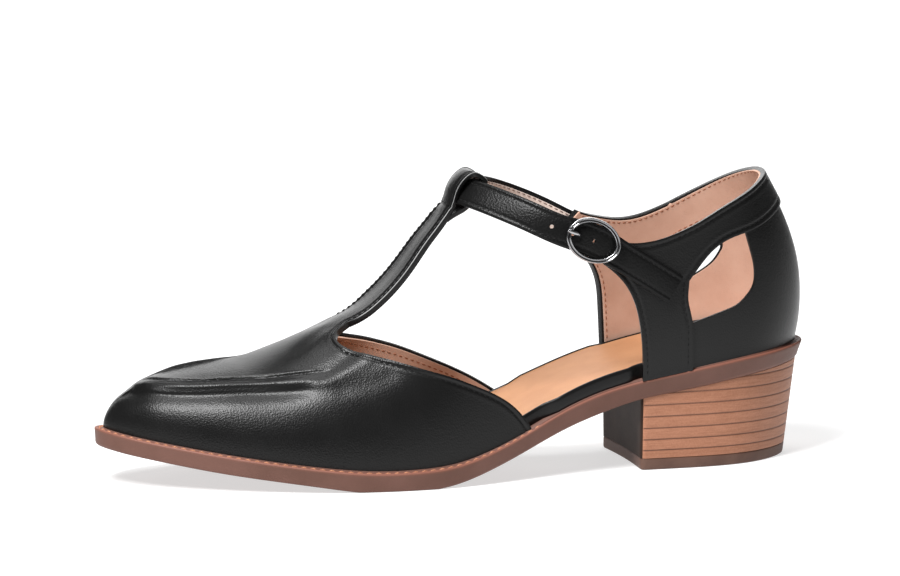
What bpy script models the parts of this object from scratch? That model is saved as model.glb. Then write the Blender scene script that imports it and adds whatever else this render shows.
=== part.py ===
"""Left T-strap shoe with an open waist, a buckled ankle strap and a stacked block heel.

The frame has +Z up and the floor at z = 0. The toe points to -X, the heel to +X, and the outer side of the
foot faces -Y. The tables are in millimetres: "along" runs from the toe tip to the back of the sole, "across"
is positive on the inner side of the foot, and "up" is the height over the floor.
"""

import bmesh
import bpy
import numpy as np

MM = 0.001

# Driving sizes
SOLE_LENGTH = 253.0
SEAT_GAP = 0.35
UPPER_WALL = 2.0
QUARTER_WALL = 1.7
BAND_WALL = 1.0
BOARD_HEIGHT = 3.4
SOCK_HEIGHT = 1.0
SOCK_INSET = 1.1
LOOP_HALF = 6.3
BAR_CROWN = 0.6
STRAP_HALF = 5.2
STRAP_WALL = 1.8
LIFT_HEIGHT = 4.1
STACK_STEP = 4.05
HEEL_BREAST = 187.8
COLLAR_BACK_UP = 100.0
BAND_BACK_UP = 89.6
RING_LONG = 9.9
RING_WIDE = 7.6
RING_BAND = 1.7
BAR_RADIUS = 0.6

# Sole outline seen from above: along, outer edge, inner edge
PLAN = (
    (8.0, -7.5, 17.0),
    (22.0, -18.0, 25.5),
    (42.0, -28.0, 32.5),
    (65.0, -36.0, 37.5),
    (90.0, -41.0, 39.0),
    (112.0, -41.0, 35.5),
    (136.0, -36.5, 26.0),
    (160.0, -30.5, 18.5),
    (185.0, -28.0, 23.0),
    (208.0, -28.5, 27.0),
    (228.0, -26.0, 25.5),
    (243.0, -17.5, 17.5),
)
TOE_TIP_ALONG = 1.2
TOE_TIP_ACROSS = 5.5

# Side view of the sole: along, bottom before the floor cuts it flat, top
SOLE_SIDE = (
    (0.0, 13.4, 20.0),
    (8.0, 11.7, 18.3),
    (18.0, 9.9, 16.5),
    (37.0, 6.6, 13.3),
    (55.0, 4.0, 10.6),
    (72.0, 1.6, 8.4),
    (88.0, -0.5, 7.0),
    (106.0, -0.5, 7.0),
    (118.0, 1.2, 8.2),
    (131.0, 5.2, 11.8),
    (142.0, 9.5, 16.1),
    (158.0, 16.2, 23.4),
    (173.0, 21.3, 28.8),
    (186.0, 24.9, 31.9),
    (205.0, 28.0, 35.3),
    (225.0, 31.1, 38.4),
    (245.0, 33.2, 40.0),
    (253.0, 33.8, 40.4),
)

# Width of the ledge between the sole's edge and the upper: along, ledge
LEDGE = (
    (0.0, 3.0),
    (60.0, 3.2),
    (115.0, 3.0),
    (150.0, 1.4),
    (200.0, 1.2),
    (235.0, 1.7),
    (253.0, 2.4),
)

# Middle line over the toe and instep: along, up, across
RIDGE = (
    (3.0, 19.8, 5.3),
    (3.6, 22.4, 5.2),
    (5.5, 26.0, 5.0),
    (9.0, 29.8, 4.5),
    (12.0, 31.9, 4.2),
    (16.5, 35.0, 3.8),
    (22.0, 36.9, 3.4),
    (31.5, 38.9, 2.9),
    (41.0, 40.3, 2.4),
    (51.0, 41.4, 2.0),
    (58.0, 43.2, 1.8),
    (66.0, 46.4, 1.6),
    (74.0, 49.6, 1.4),
    (82.0, 52.8, 1.2),
    (89.0, 56.0, 1.0),
    (95.0, 59.6, 0.8),
    (102.0, 66.0, 0.6),
    (108.0, 73.0, 0.4),
    (115.5, 83.2, 0.2),
    (121.0, 90.4, 0.0),
    (130.0, 101.0, 0.0),
    (152.0, 120.0, 0.0),
)

# Where the front upper ends, by share of its girth from the middle line: share, outer side, inner side
TOPLINE = (
    (0.135, 87.5, 87.5),
    (0.165, 84.3, 84.3),
    (0.205, 82.5, 82.5),
    (0.27, 82.1, 82.1),
    (0.38, 86.1, 86.5),
    (0.515, 96.2, 96.4),
    (0.645, 106.3, 106.8),
    (0.75, 116.5, 116.8),
    (0.845, 128.1, 128.4),
    (0.93, 139.3, 141.0),
    (1.00, 146.2, 151.0),
)

# Raised seam round the toe's top: along, share of the girth
APRON = (
    (16.0, 0.06),
    (18.0, 0.24),
    (22.0, 0.33),
    (31.0, 0.385),
    (48.0, 0.37),
    (60.0, 0.39),
    (74.0, 0.43),
)
APRON_HEIGHT = 1.1
APRON_HALF = 0.035
APRON_FLAT = 0.72

# Middle of the T-bar's outer face from the throat to the tunnel: along, up, half width
STEM = (
    (87.5, 55.3, 7.8),
    (95.0, 58.7, 8.3),
    (102.0, 64.4, 8.3),
    (108.0, 71.1, 8.0),
    (115.5, 81.1, 7.2),
    (121.0, 87.9, 6.6),
)

# Tunnel at the top of the T-bar, in the strap's own section: over the strap's width, out of its face
TUNNEL = (
    (-6.4, 2.9),
    (-3.8, 3.9),
    (2.2, 4.6),
    (4.9, 4.3),
    (7.0, 3.1),
    (8.0, 1.1),
    (8.2, -1.2),
    (7.4, -3.3),
    (5.0, -4.2),
    (2.0, -4.2),
    (-2.5, -4.2),
    (-5.5, -4.0),
    (-8.5, -3.7),
    (-11.5, -3.5),
)
# How far the tunnel's edges lie back from its middle: over the strap's width, out of its face
LOOP_SWEEP = (0.7, -1.15)

# Middle of the ankle strap from its free end, through the tunnel, to the inner quarter:
# along, across, up, elevation of its outer face in degrees
STRAP = (
    (198.0, -31.0, 64.0, 2.0),
    (184.0, -31.0, 73.0, 2.0),
    (176.0, -31.2, 78.0, 3.0),
    (168.0, -31.2, 82.8, 5.0),
    (158.0, -29.2, 87.4, 12.0),
    (149.0, -24.8, 91.0, 20.0),
    (140.0, -17.0, 94.2, 30.0),
    (133.0, -8.5, 96.2, 38.0),
    (129.8, 0.0, 96.8, 41.0),
    (133.0, 8.5, 96.2, 38.0),
    (140.0, 17.0, 94.2, 30.0),
    (149.0, 24.8, 91.0, 20.0),
    (158.0, 28.2, 87.4, 12.0),
    (168.0, 28.9, 82.8, 5.0),
    (178.0, 28.2, 77.6, 3.0),
    (190.0, 28.4, 72.6, 2.0),
)
BUCKLE_ALONG = 168.0

# Front edge of the back upper from the sole to the tab at the buckle: along, up, shift on the inner side
FRONT_EDGE = (
    (187.5, 32.5, 0.0),
    (187.2, 40.0, 0.3),
    (186.2, 50.0, 1.0),
    (184.2, 59.0, 1.9),
    (181.0, 65.5, 2.1),
    (176.5, 70.5, 1.7),
    (168.4, 76.4, 0.8),
)
TAB_TOP = (172.8, 84.6, 0.8)

# Collar edge from the tab to the back: along, up on the outer side, up on the inner side
COLLAR = (
    (172.8, 84.6, 84.6),
    (180.0, 81.0, 81.2),
    (186.0, 80.3, 79.9),
    (193.0, 81.2, 79.4),
    (200.0, 83.4, 80.2),
    (210.0, 88.0, 83.4),
    (215.0, 90.7, 85.6),
    (222.0, 94.0, 89.2),
    (229.0, 97.0, 93.4),
)

# Window corners: along and up on the outer side, along and up on the inner side, corner radius
WINDOW = (
    (203.6, 66.4, 203.6, 62.6, 1.2),
    (210.7, 75.1, 211.5, 69.6, 4.0),
    (225.3, 82.0, 224.5, 76.4, 0.8),
    (228.8, 70.0, 232.5, 69.5, 2.5),
    (228.8, 63.0, 229.0, 62.6, 3.5),
    (222.5, 56.8, 221.5, 57.6, 3.0),
    (205.0, 51.4, 205.0, 52.4, 1.2),
    (203.0, 60.0, 203.0, 58.0, 2.5),
)

# How far the back upper stands out from the sole line: height, sides, back
LEAN = (
    (0.0, 0.0, 0.0),
    (6.0, 0.7, 1.2),
    (13.0, 1.3, 1.8),
    (27.0, 1.5, 0.8),
    (42.0, 1.0, -4.0),
    (56.0, 0.2, -11.2),
    (64.0, -0.4, -16.0),
)


def column(table, place):
    """One column of a table as an array."""
    return np.array([row[place] for row in table], dtype=float)


def spline(knots, values, at):
    """Natural cubic through the values at the knots, read at the given places and held at both ends."""
    count = len(knots)
    gaps = np.diff(knots)
    slopes = np.diff(values) / gaps
    matrix = np.eye(count)
    right = np.zeros(count)
    for k in range(1, count - 1):
        matrix[k, k - 1:k + 2] = gaps[k - 1], 2.0 * (gaps[k - 1] + gaps[k]), gaps[k]
        right[k] = 6.0 * (slopes[k] - slopes[k - 1])
    bend = np.linalg.solve(matrix, right)
    at = np.clip(at, knots[0], knots[-1])
    k = np.clip(np.searchsorted(knots, at) - 1, 0, count - 2)
    after = at - knots[k]
    before = knots[k + 1] - at
    gap = gaps[k]
    cubic = (bend[k] * before ** 3 + bend[k + 1] * after ** 3) / (6.0 * gap)
    low = (values[k] / gap - bend[k] * gap / 6.0) * before
    high = (values[k + 1] / gap - bend[k + 1] * gap / 6.0) * after
    return cubic + low + high


def read(table, place, at):
    """A table column as a smooth function of the table's first column."""
    return spline(column(table, 0), column(table, place), np.asarray(at, dtype=float))


def ease(low, high, at):
    """Zero below low, one above high, with a smooth step between."""
    share = np.clip((np.asarray(at, dtype=float) - low) / (high - low), 0.0, 1.0)
    return share * share * (3.0 - 2.0 * share)


def along_path(points, count):
    """Smooth curve through rows of points, at even steps of its length."""
    points = np.asarray(points, dtype=float)
    chord = np.concatenate([[0.0], np.cumsum(np.linalg.norm(np.diff(points, axis=0), axis=1))])
    fine = np.linspace(0.0, chord[-1], 900)
    curve = np.stack([spline(chord, points[:, k], fine) for k in range(points.shape[1])], axis=1)
    length = np.concatenate([[0.0], np.cumsum(np.linalg.norm(np.diff(curve, axis=0), axis=1))])
    even = np.linspace(0.0, length[-1], count)
    return np.stack([np.interp(even, length, curve[:, k]) for k in range(points.shape[1])], axis=1)


def sole_bottom(along):
    """Underside of the sole, flat on the floor under the ball of the foot."""
    return np.maximum(read(SOLE_SIDE, 1, along), 0.0)


def sole_top(along):
    """Upper face of the sole, where the upper stands."""
    return read(SOLE_SIDE, 2, along)


def ledge(along):
    """Width of the ledge outside the upper."""
    return read(LEDGE, 1, along)


def plan_edges(inset):
    """Outer and inner edge of the sole's plan, moved in by an inset, from the toe to the back."""
    outer = [(row[0], row[1]) for row in PLAN]
    inner = [(row[0], row[2]) for row in PLAN]
    loop = [(TOE_TIP_ALONG, TOE_TIP_ACROSS)] + outer + [(SOLE_LENGTH, 0.0)] + inner[::-1]
    curve = along_path(loop[-3:] + loop + loop[:4], 1600)
    turn = np.gradient(curve, axis=0)
    turn = turn / np.linalg.norm(turn, axis=1)[:, None]
    outward = np.stack([turn[:, 1], -turn[:, 0]], axis=1)
    curve = curve - outward * np.asarray(inset(curve[:, 0]))[:, None]
    toe_first = np.argmin(curve[:800, 0])
    toe_last = 800 + np.argmin(curve[800:, 0])
    back = np.argmax(curve[:, 0])
    return curve[toe_first:back + 1], curve[back:toe_last + 1][::-1]


def edge_across(edge, along):
    """Place across at a place along, on one edge of the plan."""
    return np.interp(along, edge[:, 0], edge[:, 1])


def plan_ring(inset, shares, first=None):
    """Matched points on both edges of the plan: along and across for the outer and the inner side."""
    outer, inner = plan_edges(inset)
    toe = outer[0, 0] if first is None else first
    along = toe + (outer[-1, 0] - toe) * shares
    return along, edge_across(outer, along), edge_across(inner, along)


OUTER_FEATHER, INNER_FEATHER = plan_edges(ledge)
TOE_ALONG = OUTER_FEATHER[0, 0]
ACROSS_SHIFT = -0.5 * (plan_edges(np.zeros_like)[0][:, 1].min() + plan_edges(np.zeros_like)[1][:, 1].max())


def to_world(points):
    """Table millimetres to metres in the shared frame."""
    points = np.asarray(points, dtype=float)
    return (points + np.array([-0.5 * (TOE_TIP_ALONG + SOLE_LENGTH), ACROSS_SHIFT, 0.0])) * MM


def make_material(name, colour, roughness, metallic=0.0):
    """Plain material of one piece."""
    material = bpy.data.materials.new(name)
    material.use_nodes = True
    shader = material.node_tree.nodes["Principled BSDF"]
    shader.inputs["Base Color"].default_value = (*colour, 1.0)
    shader.inputs["Roughness"].default_value = roughness
    shader.inputs["Metallic"].default_value = metallic
    return material


def make_object(name, points, faces, material, closed=True):
    """Mesh object from points in millimetres and faces by place in the list."""
    form = bmesh.new()
    verts = [form.verts.new(point) for point in to_world(points)]
    for face in faces:
        form.faces.new([verts[k] for k in face])
    if closed:
        bmesh.ops.recalc_face_normals(form, faces=form.faces)
    mesh = bpy.data.meshes.new(name)
    form.to_mesh(mesh)
    form.free()
    made = bpy.data.objects.new(name, mesh)
    bpy.context.scene.collection.objects.link(made)
    if material is not None:
        made.data.materials.append(material)
    return made


def thicken(made, thickness, side):
    """Give an open sheet a wall, inwards for -1 and outwards for +1."""
    wall = made.modifiers.new("wall", "SOLIDIFY")
    wall.thickness = thickness * MM
    wall.offset = side
    wall.use_even_offset = False
    wall.use_quality_normals = True


def cut_with(made, cutter):
    """Cut one solid with a hidden one."""
    cutter.hide_render = True
    cutter.display_type = "WIRE"
    cut = made.modifiers.new(cutter.name, "BOOLEAN")
    cut.operation = "DIFFERENCE"
    cut.solver = "EXACT"
    cut.object = cutter


def loft(rings, caps):
    """Faces between stacked closed rings of the same length, with the given end faces."""
    count = len(rings[0])
    faces = list(caps)
    for level in range(len(rings) - 1):
        for k in range(count):
            after = (k + 1) % count
            low = level * count
            high = low + count
            faces.append((low + k, low + after, high + after, high + k))
    return np.vstack(rings), faces


def ladder(count, start):
    """Faces across a ring from its outer to its inner side, tip to tip."""
    half = count // 2
    faces = [(start, start + 1, start + count - 1)]
    for k in range(1, half - 1):
        faces.append((start + k, start + k + 1, start + count - k - 1, start + count - k))
    faces.append((start + half - 1, start + half, start + half + 1))
    return faces


def sole_ring(inset, height, shares):
    """Closed ring on the plan: toe tip, outer side, back, inner side."""
    along, outer, inner = plan_ring(inset, shares)
    rim = np.stack([along, outer], axis=1)
    back = np.stack([along, inner], axis=1)[1:-1][::-1]
    ring = np.vstack([rim, back])
    return np.column_stack([ring, height(ring[:, 0])])


def slab(name, levels, stations, material):
    """Solid stacked from sole rings, closed below and above."""
    shares = 0.5 - 0.5 * np.cos(np.linspace(0.0, np.pi, stations))
    rings = [sole_ring(inset, height, shares) for inset, height in levels]
    count = len(rings[0])
    caps = ladder(count, 0) + ladder(count, count * (len(rings) - 1))
    points, faces = loft(rings, caps)
    return make_object(name, points, faces, material)


def sole_flare(along):
    """How far the sole's side draws in towards its bottom, most at the heel."""
    return 0.3 + 1.5 * ease(165.0, 245.0, along)


def outsole(material):
    """Sole with rounded bottom edge, upright side, lip and a ledge that dips outside the upper."""
    def side(share, more):
        return lambda along: sole_flare(along) * share + more

    def level(share, more):
        return lambda along: sole_bottom(along) * (1.0 - share) + sole_top(along) * share + more

    def ledge_edge(along):
        return ledge(along) - 0.2

    levels = (
        (side(1.0, 1.0), level(0.0, 0.0)),
        (side(1.0, 0.2), level(0.0, 0.35)),
        (side(0.85, 0.0), level(0.12, 0.3)),
        (side(0.1, 0.0), level(0.75, 0.0)),
        (side(0.0, 0.0), level(0.85, 0.0)),
        (side(0.0, 0.5), level(0.92, 0.0)),
        (ledge_edge, level(0.94, 0.0)),
        (ledge, level(1.0, 0.0)),
    )
    return slab("outsole", levels, 34, material)


def board_inset(along):
    """Inset of the insole board: inside the upper at the front and back, flush with it at the open waist."""
    front = (UPPER_WALL + 0.9) * (1.0 - ease(152.0, 157.0, along))
    back = (QUARTER_WALL + 0.6) * ease(182.0, 186.5, along)
    return ledge(along) + front + back


def insole_board(material):
    """Board with softened edges on the sole."""
    def inset(more):
        return lambda along: board_inset(along) + more

    def level(more):
        return lambda along: sole_top(along) + SEAT_GAP + more

    levels = (
        (inset(0.5), level(0.0)),
        (inset(0.0), level(0.6)),
        (inset(0.0), level(BOARD_HEIGHT - 0.8)),
        (inset(0.6), level(BOARD_HEIGHT)),
    )
    return slab("insole_board", levels, 40, material)


def insole(material):
    """Sock laid on the board, a little narrower than it."""
    def inset(more):
        return lambda along: board_inset(along) + SOCK_INSET + more

    def level(more):
        return lambda along: sole_top(along) + SEAT_GAP * 2.0 + BOARD_HEIGHT + more

    levels = (
        (inset(0.0), level(0.0)),
        (inset(0.0), level(SOCK_HEIGHT - 0.4)),
        (inset(0.4), level(SOCK_HEIGHT)),
    )
    return slab("insole", levels, 40, material)


def heel_ring(up, inset):
    """Ring round the heel at one height: curved back and sides, flat breast, drawn in towards the floor."""
    drop = np.clip((33.0 - up) / 33.0, 0.0, 1.0)
    shares = np.sin(np.linspace(0.0, 0.5 * np.pi, 13))
    along, outer, inner = plan_ring(lambda s: sole_flare(s) + 0.5 + inset, shares, first=HEEL_BREAST)
    length = 1.0 - 0.07 * drop
    width = 1.0 - 0.06 * drop
    along = HEEL_BREAST + inset + (along - HEEL_BREAST) * length
    rim = np.column_stack([along, outer * width])
    rear = np.column_stack([along, inner * width])[:-1][::-1]
    ring = np.vstack([rim, rear])
    corner = 1.6
    first, last = ring[0].copy(), ring[-1].copy()
    across = np.linspace(first[1] + corner, last[1] - corner, 7)
    hollow = 0.8 * (1.0 - np.linspace(-1.0, 1.0, 7) ** 2)
    breast = np.column_stack([HEEL_BREAST + inset + hollow, across])[::-1]
    ring[0, 0] += corner
    ring[-1, 0] += corner
    ring = np.vstack([ring, breast])
    return np.column_stack([ring, np.full(len(ring), up)])


def heel_under(along):
    """Top of the heel block, just under the sole."""
    return sole_bottom(along) - SEAT_GAP


def heel_caps(count, start):
    """End face of a heel ring."""
    return [tuple(range(start, start + count))]


def heel_block(material):
    """Stack with a groove between its layers, closed under the sloping sole."""
    low = LIFT_HEIGHT + SEAT_GAP
    heights = [(low, 0.0)]
    for step in range(1, 5):
        groove = low + step * STACK_STEP - 1.5
        heights += [(groove - 0.35, 0.0), (groove, 0.3), (groove + 0.35, 0.0)]
    rings = [heel_ring(up, inset) for up, inset in heights]
    top = heel_ring(29.0, 0.0)
    top[:, 2] = heel_under(top[:, 0])
    rings.append(top)
    count = len(rings[0])
    caps = [tuple(range(count))]
    start = count * (len(rings) - 1)
    rear = 25
    half = rear // 2
    for k in range(half):
        far = start + rear - 1 - k
        if k + 1 == half:
            caps.append((start + k, start + k + 1, far))
        else:
            caps.append((start + k, start + k + 1, far - 1, far))
    caps.append((start, start + rear - 1) + tuple(range(start + rear, start + count)))
    points, faces = loft(rings, caps)
    return make_object("heel_block", points, faces, material)


def top_lift(material):
    """Flat tip under the heel."""
    rings = [heel_ring(0.0, 0.3), heel_ring(0.35, 0.0), heel_ring(LIFT_HEIGHT, 0.0)]
    count = len(rings[0])
    caps = heel_caps(count, 0) + heel_caps(count, 2 * count)
    points, faces = loft(rings, caps)
    return make_object("top_lift", points, faces, material)


def arch_at(share):
    """Height of the front upper's arch at a share of its girth, one at the middle line."""
    return np.maximum(np.cos(np.abs(share) * 0.5 * np.pi), 0.0) ** 0.96


def front_upper(along, share):
    """Point of the front upper: across each section it is an arch from the outer sole line (share -1), over
    the middle line (0), to the inner sole line (+1), y and z following sine and cosine of the share. Between
    the raised seams of the toe the arch is flattened towards the seams' height."""
    root = np.sqrt(np.maximum(along - TOE_ALONG, 0.0))
    knots = np.sqrt(column(RIDGE, 0) - RIDGE[0][0])
    crest = spline(knots, column(RIDGE, 1), root)
    middle = spline(knots, column(RIDGE, 2), root)
    base = sole_top(along) + SEAT_GAP
    side = np.where(share < 0.0, edge_across(OUTER_FEATHER, along), edge_across(INNER_FEATHER, along))
    reach = np.sin(np.abs(share) * 0.5 * np.pi)
    rise = arch_at(share)
    seam = np.interp(along, column(APRON, 0), column(APRON, 1))
    flat = APRON_FLAT * ease(14.0, 22.0, along) * (1.0 - ease(50.0, 75.0, along))
    rise = rise - flat * np.maximum(rise - arch_at(seam - APRON_HALF), 0.0)
    roll = np.exp(-((np.abs(share) - seam) / APRON_HALF) ** 2)
    roll = roll * ease(13.0, 18.0, along) * (1.0 - ease(60.0, 76.0, along)) * APRON_HEIGHT
    across = middle + (side - middle) * reach + np.sign(share) * roll * reach
    up = base + (crest - base) * rise + roll * rise
    return np.stack(np.broadcast_arrays(along, across, up), axis=-1)


def topline(share):
    """Where the front upper ends at a share of its girth."""
    size = np.clip(np.abs(share), TOPLINE[0][0], 1.0)
    return np.where(share < 0.0, read(TOPLINE, 1, size), read(TOPLINE, 2, size))


def strap_section():
    """Middle of the strap in the tunnel, with the directions over its width and out of its face, in side view."""
    lift = np.radians(STRAP[8][3])
    over = np.array([np.sin(lift), np.cos(lift)])
    out = np.array([-np.cos(lift), np.sin(lift)])
    return np.array([STRAP[8][0], STRAP[8][2]]), over, out


def tunnel_path():
    """Side view of the T-bar's outer face from the throat through the tunnel: along, up and half width."""
    middle, over, out = strap_section()
    bend = [(*(middle + over * row[0] + out * row[1]), LOOP_HALF) for row in TUNNEL]
    return np.array(list(STEM) + bend)


def vamp(material):
    """Front upper, T-bar and tunnel as one sheet with a wall."""
    half = (0.0, 0.0675, 0.135, 0.17, 0.21, 0.25, 0.30, 0.345, 0.385, 0.425, 0.48, 0.55, 0.63, 0.72, 0.81, 0.90, 1.0)
    shares = np.array([-v for v in half[:0:-1]] + list(half))
    rows = 20
    steps = 1.0 - np.cos(np.linspace(0.0, 0.5 * np.pi, rows + 1)[1:])
    end = topline(shares)
    along = TOE_ALONG + (end[None, :] - TOE_ALONG) * steps[:, None]
    sheet = front_upper(along, np.broadcast_to(shares, along.shape))
    tip = np.array([[TOE_ALONG, OUTER_FEATHER[0, 1], sole_top(TOE_ALONG) + SEAT_GAP]])
    wide = len(shares)
    points = np.vstack([tip, sheet.reshape(-1, 3)])
    faces = [(0, 1 + k + 1, 1 + k) for k in range(wide - 1)]
    for row in range(rows - 1):
        low = 1 + row * wide
        for k in range(wide - 1):
            faces.append((low + k, low + k + 1, low + wide + k + 1, low + wide + k))
    path = along_path(tunnel_path(), 40)
    wide_half = path[:, 2]
    path = path[:, :2]
    slope = np.gradient(path, axis=0)
    slope = slope / np.linalg.norm(slope, axis=1)[:, None]
    out = np.stack([-slope[:, 1], slope[:, 0]], axis=1)
    on_bar = np.abs(shares) < TOPLINE[0][0] + 0.001
    bar = shares[on_bar] / TOPLINE[0][0]
    centre, strap_over, strap_out = strap_section()
    wrap = ease(-13.0, -5.0, (path - centre) @ strap_over)[:, None]
    crown = BAR_CROWN * (1.0 - wrap) * bar ** 2
    sweep = strap_over * LOOP_SWEEP[0] + strap_out * LOOP_SWEEP[1]
    side = path[:, None] - out[:, None] * crown[..., None] + (wrap * bar ** 2)[..., None] * sweep
    middle = read(RIDGE, 2, path[:, 0])
    across = middle[:, None] + bar[None] * wide_half[:, None]
    strip = np.stack([side[..., 0], across, side[..., 1]], axis=-1)
    run = np.concatenate([[0.0], np.cumsum(np.linalg.norm(np.diff(path, axis=0), axis=1))])
    foot = (1.0 - ease(0.0, 14.0, run))[:, None, None]
    strip = (strip + (sheet[-1, on_bar] - strip[0]) * foot)[1:]
    lead = int(np.nonzero(on_bar)[0][0])
    before = [1 + (rows - 1) * wide + lead + k for k in range(len(bar))]
    start = len(points)
    for row in range(len(strip)):
        here = [start + row * len(bar) + k for k in range(len(bar))]
        for k in range(len(bar) - 1):
            faces.append((before[k], before[k + 1], here[k + 1], here[k]))
        before = here
    points = np.vstack([points, strip.reshape(-1, 3)])
    made = make_object("vamp", points, [face[::-1] for face in faces], material, closed=False)
    thicken(made, UPPER_WALL, -1.0)
    return made


def heel_line():
    """Sole line of the back upper from the outer waist round the back to the inner waist: length from the
    back seam, along, across, and the outward direction."""
    path = np.vstack([OUTER_FEATHER, INNER_FEATHER[::-1][1:]])
    steps = np.linalg.norm(np.diff(path, axis=0), axis=1)
    girth = np.concatenate([[0.0], np.cumsum(steps)])
    girth = girth - girth[len(OUTER_FEATHER) - 1]
    even = np.linspace(-125.0, 125.0, 1001)
    foot = np.stack([np.interp(even, girth, path[:, k]) for k in range(2)], axis=1)
    turn = np.gradient(foot, axis=0)
    turn = turn / np.linalg.norm(turn, axis=1)[:, None]
    return even, foot, np.stack([turn[:, 1], -turn[:, 0]], axis=1)


GIRTH, FOOT, OUTWARD = heel_line()


def back_upper(girth, up, more=0.0):
    """Point of the back upper: the sole line moved out by its lean at that height."""
    along = np.interp(girth, GIRTH, FOOT[:, 0])
    across = np.interp(girth, GIRTH, FOOT[:, 1])
    out_along = np.interp(girth, GIRTH, OUTWARD[:, 0])
    out_across = np.interp(girth, GIRTH, OUTWARD[:, 1])
    height = up - sole_top(along) - SEAT_GAP
    rear = np.clip(out_along, 0.0, 1.0) ** 0.8
    side = read(LEAN, 1, height) * (1.0 - rear) + more
    back = read(LEAN, 2, height) * rear
    return np.stack([along + out_along * side + back, across + out_across * side, up], axis=-1)


def girth_at(along, up, side):
    """Length round the heel at which the back upper has a place along, at a height, on one side."""
    run = np.linspace(0.0, 122.0, 700) * side
    places = [np.interp(-s, -back_upper(run, np.full(700, u))[:, 0], run) for s, u in zip(along, up)]
    return np.array(places)


def base_line(girth):
    """Height of the foot of the back upper."""
    return sole_top(np.interp(girth, GIRTH, FOOT[:, 0])) + SEAT_GAP


def coons(left, right, low, high):
    """Grid between four edges of a patch, each an array of points that meets the next at its ends."""
    u = np.linspace(0.0, 1.0, len(low))[None, :, None]
    v = np.linspace(0.0, 1.0, len(left))[:, None, None]
    across = (1.0 - u) * left[:, None] + u * right[:, None]
    upward = (1.0 - v) * low[None] + v * high[None]
    corners = (1.0 - u) * ((1.0 - v) * low[0] + v * high[0]) + u * ((1.0 - v) * low[-1] + v * high[-1])
    return across + upward - corners


def front_edge(side, count, start=0.0):
    """Front edge of the back upper as girth and height, from a share of its length up to the tab's top."""
    rise = along_path(FRONT_EDGE, 200)
    rise = rise[int(start * 199):]
    end = np.linspace(rise[-1], TAB_TOP, 60)[1:]
    edge = np.vstack([rise, end])
    edge[:, 0] += edge[:, 2] * (side > 0.0)
    edge = edge[:, :2]
    length = np.concatenate([[0.0], np.cumsum(np.linalg.norm(np.diff(edge, axis=0), axis=1))])
    even = np.linspace(0.0, length[-1], count)
    along = np.interp(even, length, edge[:, 0])
    up = np.interp(even, length, edge[:, 1])
    girth = girth_at(along, up, side)
    if start == 0.0:
        up[0] = base_line(girth[:1])[0]
    return np.stack([girth, up], axis=1)


def collar_edge(side, count):
    """Collar edge as girth and height from the tab's top to the back seam."""
    rise = column(COLLAR, 1 if side < 0.0 else 2)
    girth = girth_at(column(COLLAR, 0), rise, side)
    girth = np.concatenate([girth, [0.0, -girth[-1]]])
    up = np.concatenate([rise, [COLLAR_BACK_UP, COLLAR[-1][1 if side > 0.0 else 2]]])
    even = np.linspace(girth[0], 0.0, count)
    return np.stack([even, spline(girth * -side, up, even * -side)], axis=1)


def side_patch(side, low, start, rise, run):
    """Half of the back upper, from the front edge to the back seam, over a given lower edge."""
    left = front_edge(side, rise, start)
    high = collar_edge(side, run)
    right = np.linspace(low[-1], high[-1], rise)
    low[0] = left[0]
    high[0] = left[-1]
    return coons(left, right, low, high)


def both_sides(build):
    """Outer and inner half of a patch joined at the back seam, as one grid of girth and height."""
    return np.concatenate([build(-1.0), build(1.0)[:, -2::-1]], axis=1)


def grid_faces(rows, cols, start=0):
    """Faces of a grid of points."""
    faces = []
    for row in range(rows - 1):
        for k in range(cols - 1):
            here = start + row * cols + k
            faces.append((here, here + 1, here + cols + 1, here + cols))
    return faces


def quarter_grid(rise, run):
    """Grid of the whole back upper."""
    def build(side):
        girth = np.linspace(front_edge(side, 3)[0, 0], 0.0, run)
        low = np.stack([girth, base_line(girth)], axis=1)
        return side_patch(side, low, 0.0, rise, run)

    return both_sides(build)


def window_points(side):
    """Corners of one side's window: along and up."""
    first = 0 if side < 0.0 else 2
    return np.stack([column(WINDOW, first), column(WINDOW, first + 1)], axis=1)


def window_cutter(side):
    """Prism through one side with rounded corners."""
    depth = np.array([3.0, 75.0]) * side
    corners = window_points(side)
    points = [(s, y, z) for y in depth for s, z in corners]
    count = len(WINDOW)
    faces = [tuple(range(count)), tuple(range(count, 2 * count))]
    faces += [(k, (k + 1) % count, count + (k + 1) % count, count + k) for k in range(count)]
    made = make_object("window_cutter_" + ("outer" if side < 0 else "inner"), points, faces, None)
    form = bmesh.new()
    form.from_mesh(made.data)
    form.verts.ensure_lookup_table()
    for k, radius in enumerate(column(WINDOW, 4)):
        near = to_world([points[k]])[0]
        far = to_world([points[count + k]])[0]
        for edge in list(form.edges):
            ends = np.array([vert.co for vert in edge.verts])
            hit = np.abs(ends[0] - near).max() + np.abs(ends[1] - far).max()
            turned = np.abs(ends[1] - near).max() + np.abs(ends[0] - far).max()
            if min(hit, turned) < 1e-6:
                bmesh.ops.bevel(form, geom=[edge], offset=radius * MM, segments=3, profile=0.5, affect="EDGES")
                break
    bmesh.ops.recalc_face_normals(form, faces=form.faces)
    form.to_mesh(made.data)
    form.free()
    return made


def quarter(material):
    """Wall of the back upper with a window cut through each side."""
    grid = quarter_grid(12, 17)
    points = back_upper(grid[..., 0], grid[..., 1])
    faces = grid_faces(*grid.shape[:2])
    made = make_object("quarter", points.reshape(-1, 3), faces, material, closed=False)
    thicken(made, QUARTER_WALL, -1.0)
    cut_with(made, window_cutter(-1.0))
    cut_with(made, window_cutter(1.0))
    return made


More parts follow.
